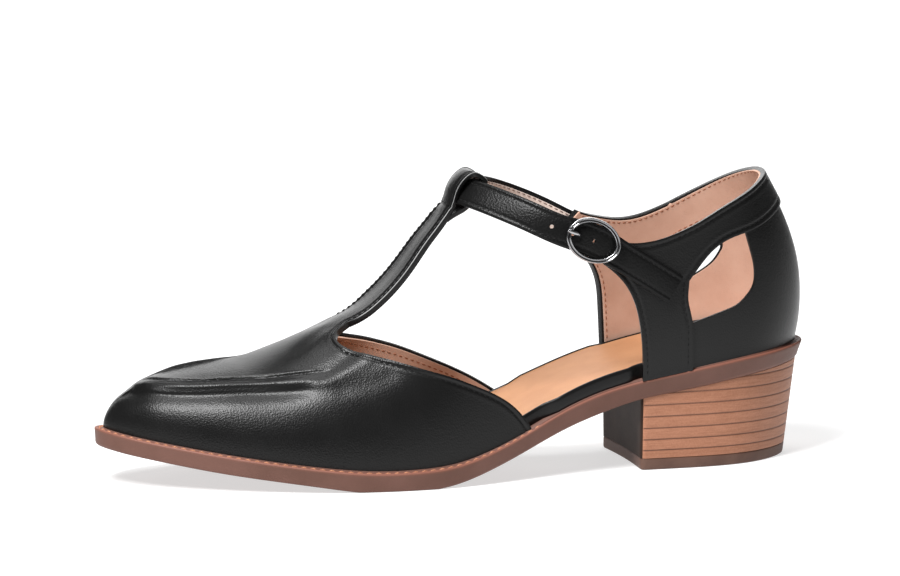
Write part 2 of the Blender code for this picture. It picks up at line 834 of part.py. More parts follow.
def band_low(side, count, split):
    """Lower edge of the collar band as girth and height: across the side band, over the window, to the back."""
    start = front_edge(side, 5, 0.62)[0]
    edge = window_points(side)[:3]
    places = girth_at(edge[:, 0], edge[:, 1], side)
    front = np.linspace(start, (places[0], edge[0, 1]), split)
    girth = np.linspace(places[0], 0.0, count - split + 1)[1:]
    knots = np.concatenate([-np.abs(places), [0.0], np.abs(places[2:])])
    rise = spline(knots, np.concatenate([edge[:, 1], [BAND_BACK_UP], edge[2:, 1]]), -np.abs(girth))
    return np.vstack([front, np.stack([girth, rise], axis=1)])


def side_band(side, count, split):
    """Band from the collar down to the sole, between the front edge and the window."""
    edge = front_edge(side, 200)
    stop = front_edge(side, 5, 0.62)[0, 1]
    up = np.linspace(edge[0, 1], stop, count)
    left = np.stack([np.interp(up, edge[:150, 1], edge[:150, 0]), up], axis=1)
    corners = window_points(side)
    rear = (205.4, 205.2, corners[6, 0], corners[7, 0], corners[0, 0])
    rear_up = (base_line(girth_at([205.4], [36.0], side))[0], 40.0, corners[6, 1], corners[7, 1], corners[0, 1])
    even = np.linspace(rear_up[0], rear_up[-1], count)
    right = np.stack([girth_at(np.interp(even, rear_up, rear), even, side), even], axis=1)
    girth = np.linspace(left[0, 0], right[0, 0], split)
    low = np.stack([girth, base_line(girth)], axis=1)
    high = np.linspace(left[-1], right[-1], split)
    low[0] = left[0]
    low[-1] = right[0]
    return coons(left, right, low, high)


def collar_band(material):
    """Band laid over the quarter: round the collar, and down each side to the sole."""
    run = 20
    split = 6

    def build(side):
        return side_patch(side, band_low(side, run, split), 0.62, 6, run)

    grid = both_sides(build)
    lay = SEAT_GAP
    points = [back_upper(grid[..., 0], grid[..., 1], lay).reshape(-1, 3)]
    faces = grid_faces(*grid.shape[:2])
    wide = grid.shape[1]
    for side in (-1.0, 1.0):
        band = side_band(side, 10, split)
        if side > 0.0:
            band = band[:, ::-1]
        start = sum(len(block) for block in points)
        points.append(back_upper(band[:-1, :, 0], band[:-1, :, 1], lay).reshape(-1, 3))
        faces += grid_faces(9, split, start)
        top = range(split) if side < 0.0 else range(wide - split, wide)
        last = start + 8 * split
        here = list(top)
        for k in range(split - 1):
            faces.append((last + k, last + k + 1, here[k + 1], here[k]))
    made = make_object("collar_band", np.vstack(points), faces, material, closed=False)
    thicken(made, BAND_WALL, 1.0)
    return made


def strap_frame(count):
    """Middle line of the ankle strap with its running, width and outward directions."""
    table = along_path([row[:3] for row in STRAP], count)
    run = np.gradient(table, axis=0)
    run = run / np.linalg.norm(run, axis=1)[:, None]
    chord = np.linalg.norm(np.diff([row[:3] for row in STRAP], axis=0), axis=1)
    knots = np.concatenate([[0.0], np.cumsum(chord)]) / chord.sum()
    tilt = np.radians(np.interp(np.linspace(0.0, 1.0, count), knots, column(STRAP, 3)))
    flat = np.stack([run[:, 1], -run[:, 0], np.zeros(count)], axis=1)
    flat = flat / np.linalg.norm(flat, axis=1)[:, None]
    out = -flat * np.cos(tilt)[:, None] + np.array([0.0, 0.0, 1.0]) * np.sin(tilt)[:, None]
    over = np.cross(run, out)
    over = over / np.linalg.norm(over, axis=1)[:, None]
    over = over * np.sign(over[:, 2:3])
    out = np.cross(over, run)
    out = out * np.sign(np.sum(out * -flat, axis=1))[:, None]
    return table, run, over, out


def sweep(centres, first, second, section):
    """Rings of a section swept along centres, with flat ends."""
    section = np.asarray(section, dtype=float)
    rings = [c + section[:, :1] * a + section[:, 1:] * b for c, a, b in zip(centres, first, second)]
    count = len(section)
    last = count * (len(rings) - 1)
    caps = [tuple(range(count)), tuple(range(last, last + count))]
    return loft(rings, caps)


def buckle_frame_at():
    """Place and directions of the buckle on the strap: heelwards, over the strap's width, outwards."""
    table, run, over, out = strap_frame(900)
    outer = table[:, 1] < 0.0
    place = np.argmin(np.abs(table[:, 0] - BUCKLE_ALONG) + 1000.0 * ~outer)
    return table[place], -run[place], over[place], out[place]


def ankle_strap(material):
    """Flat strap with softened edges and a hole for the prong."""
    table, _, over, out = strap_frame(58)
    wide = STRAP_HALF
    thin = 0.5 * STRAP_WALL
    soft = 0.35
    section = (
        (-wide, -thin + soft),
        (-wide + soft, -thin),
        (wide - soft, -thin),
        (wide, -thin + soft),
        (wide, thin - soft),
        (wide - soft, thin),
        (-wide + soft, thin),
        (-wide, thin - soft),
    )
    points, faces = sweep(table, over, out, section)
    made = make_object("ankle_strap", points, faces, material)
    centre, run, _, normal = buckle_frame_at()
    around = np.linspace(0.0, 2.0 * np.pi, 12, endpoint=False)
    ring = np.column_stack([np.cos(around), np.sin(around)]) * 1.15
    hole = [centre - run * 2.5 - normal * 3.0, centre - run * 3.4 + normal * 3.0]
    side = np.cross(normal, run)
    points, faces = sweep(hole, [run, run], [side, side], ring)
    cut_with(made, make_object("prong_hole", points, faces, None))
    return made


BAR_DEPTH = -0.5 * STRAP_WALL - 0.3 - 1.5


def buckle_frame(material):
    """Oval ring over the strap, deep at its sides where the bar is held."""
    centre, run, over, out = buckle_frame_at()
    around = np.linspace(0.0, 2.0 * np.pi, 40, endpoint=False)
    rings = []
    for turn in around:
        long, wide = np.cos(turn), np.sin(turn)
        dip = np.abs(wide) ** 12
        low = 0.5 * STRAP_WALL + 0.55 - 4.1 * dip
        high = 0.5 * STRAP_WALL + 2.2 - 0.4 * wide ** 2
        if long < 0.0:
            high -= 0.5 * long ** 12
        section = ((0.0, low + 0.3), (-0.35, low), (-RING_BAND + 0.35, low), (-RING_BAND, low + 0.3),
                   (-RING_BAND, high - 0.5), (-RING_BAND + 0.5, high), (-0.5, high), (0.0, high - 0.5))
        ring = []
        for inward, rise in section:
            ring.append(centre + run * long * (RING_LONG + inward) + over * wide * (RING_WIDE + inward) + out * rise)
        rings.append(np.array(ring))
    count = 8
    faces = []
    for step in range(len(rings)):
        low = step * count
        high = ((step + 1) % len(rings)) * count
        for k in range(count):
            after = (k + 1) % count
            faces.append((low + k, low + after, high + after, high + k))
    return make_object("buckle_frame", np.vstack(rings), faces, material)


def round_section(radius, sides):
    """Points round a circle."""
    around = np.linspace(0.0, 2.0 * np.pi, sides, endpoint=False)
    return np.column_stack([np.cos(around), np.sin(around)]) * radius


def buckle_bar(material):
    """Round bar under the strap, between the sides of the ring."""
    centre, run, over, out = buckle_frame_at()
    half = RING_WIDE - RING_BAND - 0.3
    ends = [centre + out * BAR_DEPTH + over * half * side for side in (-1.0, 1.0)]
    points, faces = sweep(ends, [run, run], [out, out], round_section(BAR_RADIUS, 12))
    return make_object("buckle_bar", points, faces, material)


def buckle_prong(material):
    """Pin hooked round the bar, through the strap's hole, with its tip on the ring."""
    centre, run, over, out = buckle_frame_at()
    pin = 0.55
    hook = BAR_RADIUS + pin + 0.25
    turns = np.radians(np.linspace(-95.0, -170.0, 6))
    bend = [(hook * np.cos(turn), BAR_DEPTH + hook * np.sin(turn)) for turn in turns]
    over_strap = 0.5 * STRAP_WALL + pin + 0.3
    tip = 0.5 * STRAP_WALL + 1.7 + pin + 0.3
    bend += [(-2.1, -1.3), (-2.9, 0.2), (-4.3, over_strap + 0.5), (-6.8, tip - 0.1), (-RING_LONG + 0.4, tip)]
    path = along_path(bend, 26)
    slope = np.gradient(path, axis=0)
    slope = slope / np.linalg.norm(slope, axis=1)[:, None]
    spots = centre + path[:, :1] * run + path[:, 1:] * out
    side = -slope[:, 1:] * run + slope[:, :1] * out
    points, faces = sweep(spots, side, np.broadcast_to(over, side.shape), round_section(pin, 7))
    return make_object("buckle_prong", points, faces, material)


def buckle_tab(material):
    """Fold of the tab round the bar, slotted for the prong."""
    centre, run, over, out = buckle_frame_at()
    inside = round_section(BAR_RADIUS + 0.2, 16)
    outside = round_section(1.5, 16)
    rings = []
    for across, ring in ((-4.5, inside), (-4.5, outside), (4.5, outside), (4.5, inside)):
        spot = centre + out * BAR_DEPTH + over * across
        rings.append(spot + ring[:, :1] * run + ring[:, 1:] * out)
    points, faces = loft(rings + [rings[0]], [])
    count = 16
    faces = [tuple(k % (4 * count) for k in face) for face in faces]
    made = make_object("buckle_tab", points[:4 * count], faces, material)
    slot = []
    for rise in (BAR_DEPTH - 3.0, BAR_DEPTH + 3.0):
        for heelwards, across in ((-2.5, -1.0), (0.72, -1.0), (0.72, 1.0), (-2.5, 1.0)):
            slot.append(centre + out * rise + run * heelwards + over * across)
    walls = [(0, 1, 2, 3), (4, 5, 6, 7)] + [(k, (k + 1) % 4, 4 + (k + 1) % 4, 4 + k) for k in range(4)]
    cut_with(made, make_object("prong_slot", slot, walls, None))
    return made


def main():
    """Clear the scene and build every piece."""
    for old in list(bpy.data.objects):
        bpy.data.objects.remove(old)
    leather = (0.018, 0.018, 0.018)
    outsole(make_material("sole_brown", (0.19, 0.10, 0.075), 0.55))
    heel_block(make_material("heel_stack", (0.36, 0.17, 0.10), 0.5))
    top_lift(make_material("lift_rubber", (0.10, 0.06, 0.045), 0.7))
    insole_board(make_material("board_wrap", leather, 0.5))
    insole(make_material("insole_tan", (0.74, 0.40, 0.22), 0.6))
    vamp(make_material("vamp_leather", leather, 0.45))
    quarter(make_material("quarter_leather", leather, 0.45))
    collar_band(make_material("band_leather", leather, 0.45))
    ankle_strap(make_material("strap_leather", leather, 0.45))
    buckle_frame(make_material("frame_metal", (0.45, 0.45, 0.46), 0.3, 1.0))
    buckle_bar(make_material("bar_metal", (0.45, 0.45, 0.46), 0.3, 1.0))
    buckle_prong(make_material("prong_metal", (0.45, 0.45, 0.46), 0.3, 1.0))
    buckle_tab(make_material("tab_leather", leather, 0.5))


main()
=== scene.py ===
# %% [markdown]
# # A left T-strap shoe, dressed piece by piece
# The imported solids give every piece its place and size. They are plain on purpose, so most are stood in for
# here by a finer surface, worked out from the same sizes: sheets of leather with rolled edges, linings behind
# them, rows of stitches, a stacked heel and a polished buckle. The buckle's bar and tab keep their solid
# shape and take new finishes. A mesh could be sculpted by hand, but a function of two parameters keeps every
# edge where the solids have it and is easy to change.

import bmesh
import bpy
import numpy as np
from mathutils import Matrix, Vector


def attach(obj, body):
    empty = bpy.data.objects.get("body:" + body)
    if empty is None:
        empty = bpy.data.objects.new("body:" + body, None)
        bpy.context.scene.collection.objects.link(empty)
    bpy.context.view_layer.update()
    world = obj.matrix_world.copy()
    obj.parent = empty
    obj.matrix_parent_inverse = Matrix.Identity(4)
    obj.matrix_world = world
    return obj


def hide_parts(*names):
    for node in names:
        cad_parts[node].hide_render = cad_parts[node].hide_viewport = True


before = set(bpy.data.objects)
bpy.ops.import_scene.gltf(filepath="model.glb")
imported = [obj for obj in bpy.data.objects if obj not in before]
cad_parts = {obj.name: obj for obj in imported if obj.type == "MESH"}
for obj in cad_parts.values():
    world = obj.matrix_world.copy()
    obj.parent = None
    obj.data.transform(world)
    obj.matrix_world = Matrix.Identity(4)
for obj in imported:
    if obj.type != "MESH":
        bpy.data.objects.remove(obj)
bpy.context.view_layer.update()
MM = 0.001
print("solids:", ", ".join(sorted(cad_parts)))

# %% [markdown]
# ## Sizes of the shoe
# A shoe is drawn as a side view, a plan and a few sections. Each short table below is one such drawing, in
# millimetres: "along" runs from the toe tip to the back of the sole, "across" is positive on the inner side
# of the foot and "up" is the height over the floor. Smooth curves run through the rows.

# %% Driving sizes
SOLE_LENGTH = 253.0
TOE_TIP_ALONG = 1.2
TOE_TIP_ACROSS = 5.5
SEAT_GAP = 0.35
BOARD_HEIGHT = 3.4
SOCK_HEIGHT = 1.0
SOCK_INSET = 1.1
UPPER_WALL = 2.0
QUARTER_WALL = 1.7
LOOP_HALF = 6.3
STRAP_HALF = 5.2
STRAP_WALL = 1.8
LIFT_HEIGHT = 4.1
HEEL_BREAST = 187.8
COLLAR_BACK_UP = 100.0
BAND_BACK_UP = 89.6
RING_LONG = 9.9
RING_WIDE = 7.6
RING_BAND = 1.7
BUCKLE_ALONG = 168.0
print("sole", SOLE_LENGTH - TOE_TIP_ALONG, "mm long")

# %% Tables of the sole and of the front upper
# Sole outline seen from above: along, outer edge, inner edge
PLAN = (
    (8.0, -7.5, 17.0), (22.0, -18.0, 25.5), (42.0, -28.0, 32.5), (65.0, -36.0, 37.5),
    (90.0, -41.0, 39.0), (112.0, -41.0, 35.5), (136.0, -36.5, 26.0), (160.0, -30.5, 18.5),
    (185.0, -28.0, 23.0), (208.0, -28.5, 27.0), (228.0, -26.0, 25.5), (243.0, -17.5, 17.5),
)
# Side view of the sole: along, bottom before the floor cuts it flat, top
SOLE_SIDE = (
    (0.0, 13.4, 20.0), (8.0, 11.7, 18.3), (18.0, 9.9, 16.5), (37.0, 6.6, 13.3), (55.0, 4.0, 10.6),
    (72.0, 1.6, 8.4), (88.0, -0.5, 7.0), (106.0, -0.5, 7.0), (118.0, 1.2, 8.2), (131.0, 5.2, 11.8),
    (142.0, 9.5, 16.1), (158.0, 16.2, 23.4), (173.0, 21.3, 28.8), (186.0, 24.9, 31.9),
    (205.0, 28.0, 35.3), (225.0, 31.1, 38.4), (245.0, 33.2, 40.0), (253.0, 33.8, 40.4),
)
# Width of the ledge between the sole's edge and the upper: along, ledge
LEDGE = (
    (0.0, 3.0), (60.0, 3.2), (115.0, 3.0), (150.0, 1.4), (200.0, 1.2), (235.0, 1.7), (253.0, 2.4),
)
# Middle line over the toe and instep: along, up, across
RIDGE = (
    (3.0, 19.8, 5.3), (3.6, 22.4, 5.2), (5.5, 26.0, 5.0), (9.0, 29.8, 4.5), (12.0, 31.9, 4.2),
    (16.5, 35.0, 3.8), (22.0, 36.9, 3.4), (31.5, 38.9, 2.9), (41.0, 40.3, 2.4), (51.0, 41.4, 2.0),
    (58.0, 43.2, 1.8), (66.0, 46.4, 1.6), (74.0, 49.6, 1.4), (82.0, 52.8, 1.2), (89.0, 56.0, 1.0),
    (95.0, 59.6, 0.8), (102.0, 66.0, 0.6), (108.0, 73.0, 0.4), (115.5, 83.2, 0.2), (121.0, 90.4, 0.0),
    (130.0, 101.0, 0.0), (152.0, 120.0, 0.0),
)
# Where the front upper ends, by share of its girth from the middle line: share, outer side, inner side
TOPLINE = (
    (0.135, 87.5, 87.5), (0.165, 84.3, 84.3), (0.205, 82.5, 82.5), (0.27, 82.1, 82.1),
    (0.38, 86.1, 86.5), (0.515, 96.2, 96.4), (0.645, 106.3, 106.8), (0.75, 116.5, 116.8),
    (0.845, 128.1, 128.4), (0.93, 139.3, 141.0), (1.00, 146.2, 151.0),
)
# Crease of the raised seam round the toe's top: along, share of the girth on the outer and the inner side
APRON = (
    (18.8, 0.0, 0.0), (20.2, 0.08, 0.06), (22.1, 0.151, 0.115), (26.5, 0.234, 0.175), (35.5, 0.305, 0.205),
    (42.5, 0.325, 0.21), (49.5, 0.335, 0.22), (58.8, 0.370, 0.24), (68.8, 0.425, 0.27), (78.0, 0.46, 0.30),
)
# Middle of the T-bar's outer face from the throat to the tunnel: along, up, half width
STEM = (
    (87.5, 55.3, 7.8), (95.0, 58.7, 8.3), (102.0, 64.4, 8.3), (108.0, 71.1, 8.0), (115.5, 81.1, 7.2),
    (121.0, 87.9, 6.6),
)
# Tunnel at the top of the T-bar, in the strap's section: over the strap's width, out of its face
TUNNEL = (
    (-5.6, 2.3), (-3.0, 3.5), (2.2, 4.5), (4.9, 4.1), (6.9, 3.0), (7.8, 1.0), (8.0, -1.2),
    (7.2, -3.2), (5.0, -3.9), (2.0, -4.0), (-2.5, -3.9), (-5.5, -3.4), (-8.5, -2.8), (-11.5, -2.6),
)
print("rows of the toe's middle line:", len(RIDGE))

# %% Tables of the straps and of the back upper
# Middle of the ankle strap from its free end, through the tunnel, to the inner side:
# along, across, up, elevation of its outer face in degrees
STRAP = (
    (198.0, -31.0, 64.0, 2.0), (184.0, -31.0, 73.0, 2.0), (176.0, -31.2, 78.0, 3.0),
    (168.0, -31.2, 82.5, 5.0), (158.0, -29.2, 85.9, 12.0), (149.0, -24.8, 89.9, 20.0),
    (140.0, -17.0, 93.7, 30.0), (133.0, -8.5, 96.1, 38.0), (129.8, 0.0, 96.8, 41.0),
    (133.0, 8.5, 96.2, 38.0), (140.0, 17.0, 94.2, 30.0), (149.0, 24.8, 91.0, 20.0),
    (158.0, 27.7, 87.4, 12.0), (168.0, 26.9, 82.8, 5.0), (178.0, 24.6, 77.6, 3.0),
    (184.0, 24.9, 75.0, 2.5), (190.0, 26.4, 72.6, 2.0),
)
# Front edge of the back upper from the sole to the tab at the buckle: along, up, shift on the inner side
FRONT_EDGE = (
    (187.5, 32.5, 0.0), (187.2, 40.0, 0.3), (186.2, 50.0, 1.0), (184.2, 59.0, 1.9),
    (181.0, 65.5, 2.1), (176.5, 70.5, 1.7), (168.4, 76.4, 0.8),
)
# Top of the tab: along, up, shift on the inner side
TAB_TOP = (172.8, 84.6, 5.0)
# Collar edge from the tab to the back: along, up on the outer side, up on the inner side
COLLAR = (
    (172.8, 84.6, 84.6), (180.0, 81.0, 83.7), (186.0, 80.3, 82.0), (193.0, 81.2, 80.6),
    (200.0, 83.4, 80.6), (210.0, 88.0, 83.4), (215.0, 90.7, 85.6), (222.0, 94.0, 89.2),
    (229.0, 97.0, 93.4),
)
# Window corners: along and up on the outer side, along and up on the inner side, corner radius
WINDOW = (
    (203.6, 66.4, 203.6, 62.6, 1.2), (210.7, 75.1, 211.5, 69.6, 4.0),
    (225.3, 82.0, 224.4, 76.4, 0.8), (228.8, 70.0, 232.0, 69.8, 2.5),
    (228.8, 63.0, 228.5, 63.1, 3.5), (222.5, 56.8, 221.1, 58.1, 3.0),
    (205.0, 51.4, 205.0, 52.4, 1.2), (203.0, 60.0, 203.0, 58.0, 2.5),
)
# How far the back upper stands out from the sole line: height, sides, back
LEAN = (
    (0.0, 0.0, 0.0), (6.0, 0.7, 1.2), (13.0, 1.3, 1.8), (27.0, 1.5, 0.8), (42.0, 1.0, -4.0),
    (56.0, 0.2, -11.2), (64.0, -0.4, -16.0),
)
print("rows of the strap's route:", len(STRAP))

# %% [markdown]
# ## Curves through the tables
# A natural cubic spline bends as a thin batten does, so it gives a drawing's curve from few points. The
# sole's outline is one closed curve, and a ledge is that curve moved in along its own normal.

# %% Curve helpers
def column(table, place):
    """One column of a table as an array."""
    return np.array([row[place] for row in table], dtype=float)


def spline(knots, values, at):
    """Natural cubic through the values at the knots: the second slopes solve one linear system, and each span
    is the cubic with those second slopes at its ends. Places outside the knots are held at the ends."""
    count = len(knots)
    gaps = np.diff(knots)
    slopes = np.diff(values) / gaps
    matrix = np.eye(count)
    inner = np.arange(1, count - 1)
    matrix[inner, inner - 1] = gaps[:-1]
    matrix[inner, inner] = 2.0 * (gaps[:-1] + gaps[1:])
    matrix[inner, inner + 1] = gaps[1:]
    right = np.zeros(count)
    right[1:-1] = 6.0 * np.diff(slopes)
    bend = np.linalg.solve(matrix, right)
    at = np.clip(at, knots[0], knots[-1])
    k = np.clip(np.searchsorted(knots, at) - 1, 0, count - 2)
    after = at - knots[k]
    before = knots[k + 1] - at
    gap = gaps[k]
    cubic = (bend[k] * before ** 3 + bend[k + 1] * after ** 3) / (6.0 * gap)
    low = (values[k] / gap - bend[k] * gap / 6.0) * before
    high = (values[k + 1] / gap - bend[k + 1] * gap / 6.0) * after
    return cubic + low + high


def read(table, place, at):
    """A table column as a smooth function of the table's first column."""
    return spline(column(table, 0), column(table, place), np.asarray(at, dtype=float))


def ease(low, high, at):
    """Zero below low, one above high, with the smooth step 3s^2 - 2s^3 between."""
    share = np.clip((np.asarray(at, dtype=float) - low) / (high - low), 0.0, 1.0)
    return share * share * (3.0 - 2.0 * share)


def bump(at, middle, half):
    """Bell of height one round a middle: e to the minus square of the distance in half widths."""
    return np.exp(-((at - middle) / half) ** 2)


def unit(vectors):
    """The same directions with length one."""
    return vectors / np.linalg.norm(vectors, axis=-1, keepdims=True)


def right_of(turn):
    """Directions square to flat running directions, to their right."""
    return np.stack([turn[:, 1], -turn[:, 0]], axis=1)


def turns(count):
    """Even angles round a full turn."""
    return np.linspace(0.0, 2.0 * np.pi, count, endpoint=False)


def gathered(count):
    """Shares from zero to one, closer together at both ends: half of one less a cosine."""
    return 0.5 - 0.5 * np.cos(np.linspace(0.0, np.pi, count))


def squarish(values, power):
    """A power of the size with the sign kept. A cosine and sine raised to a low power round a box."""
    return np.sign(values) * np.abs(values) ** power


def lengths(path):
    """Length run along a path at each of its points."""
    return np.concatenate([[0.0], np.cumsum(np.linalg.norm(np.diff(path, axis=0), axis=1))])


def even_path(path, count):
    """The same polyline with its points at even steps of its length."""
    run = lengths(path)
    even = np.linspace(0.0, run[-1], count)
    return np.stack([np.interp(even, run, path[:, k]) for k in range(path.shape[1])], axis=1)


def along_path(points, count):
    """Smooth curve through rows of points, at even steps of its length."""
    points = np.asarray(points, dtype=float)
    chord = lengths(points)
    fine = np.linspace(0.0, chord[-1], 900)
    curve = np.stack([spline(chord, points[:, k], fine) for k in range(points.shape[1])], axis=1)
    return even_path(curve, count)


print("middle of the toe 40 mm from its tip:", round(float(read(RIDGE, 1, 40.0)), 2), "mm up")

# %% Sole outline
def sole_bottom(along):
    """Underside of the sole, flat on the floor under the ball of the foot."""
    return np.maximum(read(SOLE_SIDE, 1, along), 0.0)


def sole_top(along):
    """Upper face of the sole, where the upper stands."""
    return read(SOLE_SIDE, 2, along)


def ledge(along):
    """Width of the ledge outside the upper."""
    return read(LEDGE, 1, along)


def plan_edges(inset):
    """Outer and inner edge of the sole's plan: the closed outline moved in along its normal by an inset, from
    the toe to the back."""
    outer = [(row[0], row[1]) for row in PLAN]
    inner = [(row[0], row[2]) for row in PLAN]
    loop = [(TOE_TIP_ALONG, TOE_TIP_ACROSS)] + outer + [(SOLE_LENGTH, 0.0)] + inner[::-1]
    curve = along_path(loop[-3:] + loop + loop[:4], 1600)
    outward = right_of(unit(np.gradient(curve, axis=0)))
    curve = curve - outward * np.asarray(inset(curve[:, 0]))[:, None]
    half = len(curve) // 2
    toe_first = np.argmin(curve[:half, 0])
    toe_last = half + np.argmin(curve[half:, 0])
    back = np.argmax(curve[:, 0])
    return curve[toe_first:back + 1], curve[back:toe_last + 1][::-1]


def edge_across(edge, along):
    """Place across at a place along, on one edge of the plan."""
    return np.interp(along, edge[:, 0], edge[:, 1])


def plan_ring(inset, shares, first=None):
    """Matched points on both edges of the plan: along, across on the outer side, across on the inner side."""
    outer, inner = plan_edges(inset)
    toe = outer[0, 0] if first is None else first
    along = toe + (outer[-1, 0] - toe) * shares
    return along, edge_across(outer, along), edge_across(inner, along)


OUTER_FEATHER, INNER_FEATHER = plan_edges(ledge)
TOE_ALONG = OUTER_FEATHER[0, 0]
OUTER_RIM, INNER_RIM = plan_edges(np.zeros_like)
RIM_ACROSS = OUTER_RIM[:, 1].min(), INNER_RIM[:, 1].max()
ORIGIN = np.array([-0.5 * (TOE_TIP_ALONG + SOLE_LENGTH), -0.5 * sum(RIM_ACROSS), 0.0])


def to_world(points):
    """Table millimetres to metres in the shared frame."""
    return (np.asarray(points, dtype=float) + ORIGIN) * MM


print("widest place of the sole:", round(RIM_ACROSS[1] - RIM_ACROSS[0], 1), "mm")

# %% [markdown]
# ## From grids to meshes
# Every piece is one or more grids of points. A leather sheet is an open grid that a Solidify modifier gives
# its wall and a Bevel modifier rolls at the rim, as a maker folds an edge. Solid pieces are closed grids.
# Grids that share an edge are merged there, so a sheet has no slit.

# %% Mesh helpers
def grid_faces(rows, cols, wrap_rows=False, wrap_cols=False):
    """Quads of a grid whose point at row r and column c is number r * cols + c. A wrapped way joins its end
    to its start."""
    r, c = np.meshgrid(np.arange(rows if wrap_rows else rows - 1), np.arange(cols if wrap_cols else cols - 1),
                       indexing="ij")
    r_next = (r + 1) % rows
    c_next = (c + 1) % cols
    quads = np.stack([r * cols + c, r * cols + c_next, r_next * cols + c_next, r_next * cols + c], axis=-1)
    return quads.reshape(-1, 4)


def sheet_block(grid, flip=False):
    """Points and faces of an open grid."""
    faces = grid_faces(*grid.shape[:2])
    return grid.reshape(-1, 3), faces[:, ::-1] if flip else faces


def tube_block(grid):
    """Points and faces of a grid that closes on itself in its columns, with a flat face at each end."""
    rows, cols = grid.shape[:2]
    faces = grid_faces(rows, cols, wrap_cols=True).tolist()
    faces.append(list(range(cols))[::-1])
    faces.append(list(range((rows - 1) * cols, rows * cols)))
    return grid.reshape(-1, 3), faces


def normals(grid):
    """Unit normal of a grid surface: the cross product of its two running directions."""
    cross = np.cross(np.gradient(grid, axis=0), np.gradient(grid, axis=1))
    return cross / np.maximum(np.linalg.norm(cross, axis=-1, keepdims=True), 1e-9)


def distance(grid, path):
    """Distance from every point of a grid to the nearest point of a path."""
    return np.stack([np.linalg.norm(row[:, None] - path[None], axis=2).min(axis=1) for row in grid])


def make_piece(name, blocks, finishes, stands_for=(), wall=0.0, rolled=0.0, inside=None, marks=None):
    """Object from blocks of points and faces: merged where they meet, faces turned outwards (away from the
    inside point for an open sheet), smooth, with a wall and a rolled rim where asked. Marks are values for
    the finish."""
    points = to_world(np.vstack([block[0] for block in blocks]))
    starts = np.cumsum([0] + [len(block[0]) for block in blocks[:-1]])
    faces = [[k + start for k in face] for block, start in zip(blocks, starts) for face in block[1]]
    mesh = bpy.data.meshes.new(name)
    mesh.from_pydata(points.tolist(), [], faces)
    for mark, values in (marks or {}).items():
        layer = mesh.attributes.new(mark, "FLOAT", "POINT")
        layer.data.foreach_set("value", np.asarray(values, dtype=np.float32).ravel())
    form = bmesh.new()
    form.from_mesh(mesh)
    bmesh.ops.remove_doubles(form, verts=form.verts, dist=2e-6)
    bmesh.ops.dissolve_degenerate(form, edges=form.edges, dist=1e-7)
    if inside is None:
        bmesh.ops.recalc_face_normals(form, faces=form.faces)
    form.to_mesh(mesh)
    form.free()
    if inside is not None:
        centre = to_world(inside)
        middles = np.zeros(len(mesh.polygons) * 3)
        facing = np.zeros(len(mesh.polygons) * 3)
        mesh.polygons.foreach_get("center", middles)
        mesh.polygons.foreach_get("normal", facing)
        if np.sum((middles.reshape(-1, 3) - centre) * facing.reshape(-1, 3)) < 0.0:
            mesh.flip_normals()
    mesh.shade_smooth()
    made = bpy.data.objects.new(name, mesh)
    bpy.context.scene.collection.objects.link(made)
    for finish in finishes if isinstance(finishes, list) else [finishes]:
        mesh.materials.append(finish)
    if wall:
        skin = made.modifiers.new("wall", "SOLIDIFY")
        skin.thickness = wall * MM
        skin.offset = -1.0
        skin.use_quality_normals = True
    if rolled:
        rim = made.modifiers.new("rolled rim", "BEVEL")
        rim.width = rolled * MM
        rim.segments = 3
        rim.limit_method = "ANGLE"
        rim.angle_limit = np.radians(55.0)
    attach(made, "root")
    if stands_for:
        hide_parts(*stands_for)
    print(name, len(mesh.polygons), "faces")
    return made


print("a 3 by 4 grid has", len(grid_faces(3, 4)), "faces")

# %% [markdown]
# ## Writing finishes as expressions
# A finish is a small sum: a grain, a tone that drifts, a darker groove. Wiring each sum by hand hides it, so
# one class wraps a socket, and plain arithmetic on it adds the Math nodes. Any other node comes from one
# method.

# %% Finish helpers
class Wire:
    """One socket of a finish. Arithmetic on it adds Math nodes."""

    def __init__(self, tree, socket):
        self.tree = tree
        self.socket = socket

    def node(self, kind, settings, sockets, out=0):
        """Any node: its settings first, then the values or links of its sockets. Gives one of its outputs."""
        made = self.tree.nodes.new(kind)
        for name, value in settings.items():
            setattr(made, name, value)
        for key, value in sockets.items():
            if isinstance(value, Wire):
                self.tree.links.new(value.socket, made.inputs[key])
            else:
                made.inputs[key].default_value = value
        return Wire(self.tree, made.outputs[out])

    def maths(self, operation, first, second):
        """One Math node on two values or wires."""
        return self.node("ShaderNodeMath", {"operation": operation}, {0: first, 1: second})

    def __add__(self, other):
        return self.maths("ADD", self, other)

    __radd__ = __add__

    def __rsub__(self, other):
        return self.maths("SUBTRACT", other, self)

    def __mul__(self, other):
        return self.maths("MULTIPLY", self, other)

    __rmul__ = __mul__

    def step(self, low, high):
        """Zero below low and one above high, smooth between."""
        return self.node("ShaderNodeMapRange", {"interpolation_type": "SMOOTHSTEP"},
                         {"Value": self, "From Min": low, "From Max": high})

    def tint(self, dark, light):
        """Colour between two, by this value."""
        return self.over((*dark, 1.0), light)

    def over(self, colour, top):
        """A colour or colour wire covered by a plain colour where this value is one."""
        return self.node("ShaderNodeMix", {"data_type": "RGBA"}, {0: self, 6: colour, 7: (*top, 1.0)}, out=2)

    def stretch(self, scale):
        """Coordinates scaled apart in each direction."""
        return self.node("ShaderNodeMapping", {}, {"Vector": self, "Scale": scale})

    def noise(self, scale, detail=2.0, rough=0.5):
        """Cloudy noise, about 0.5 on average."""
        return self.node("ShaderNodeTexNoise", {},
                         {"Vector": self, "Scale": scale, "Detail": detail, "Roughness": rough})

    def pebbles(self, scale):
        """Distance to the nearest of scattered points: small round cells."""
        return self.node("ShaderNodeTexVoronoi", {}, {"Vector": self, "Scale": scale})


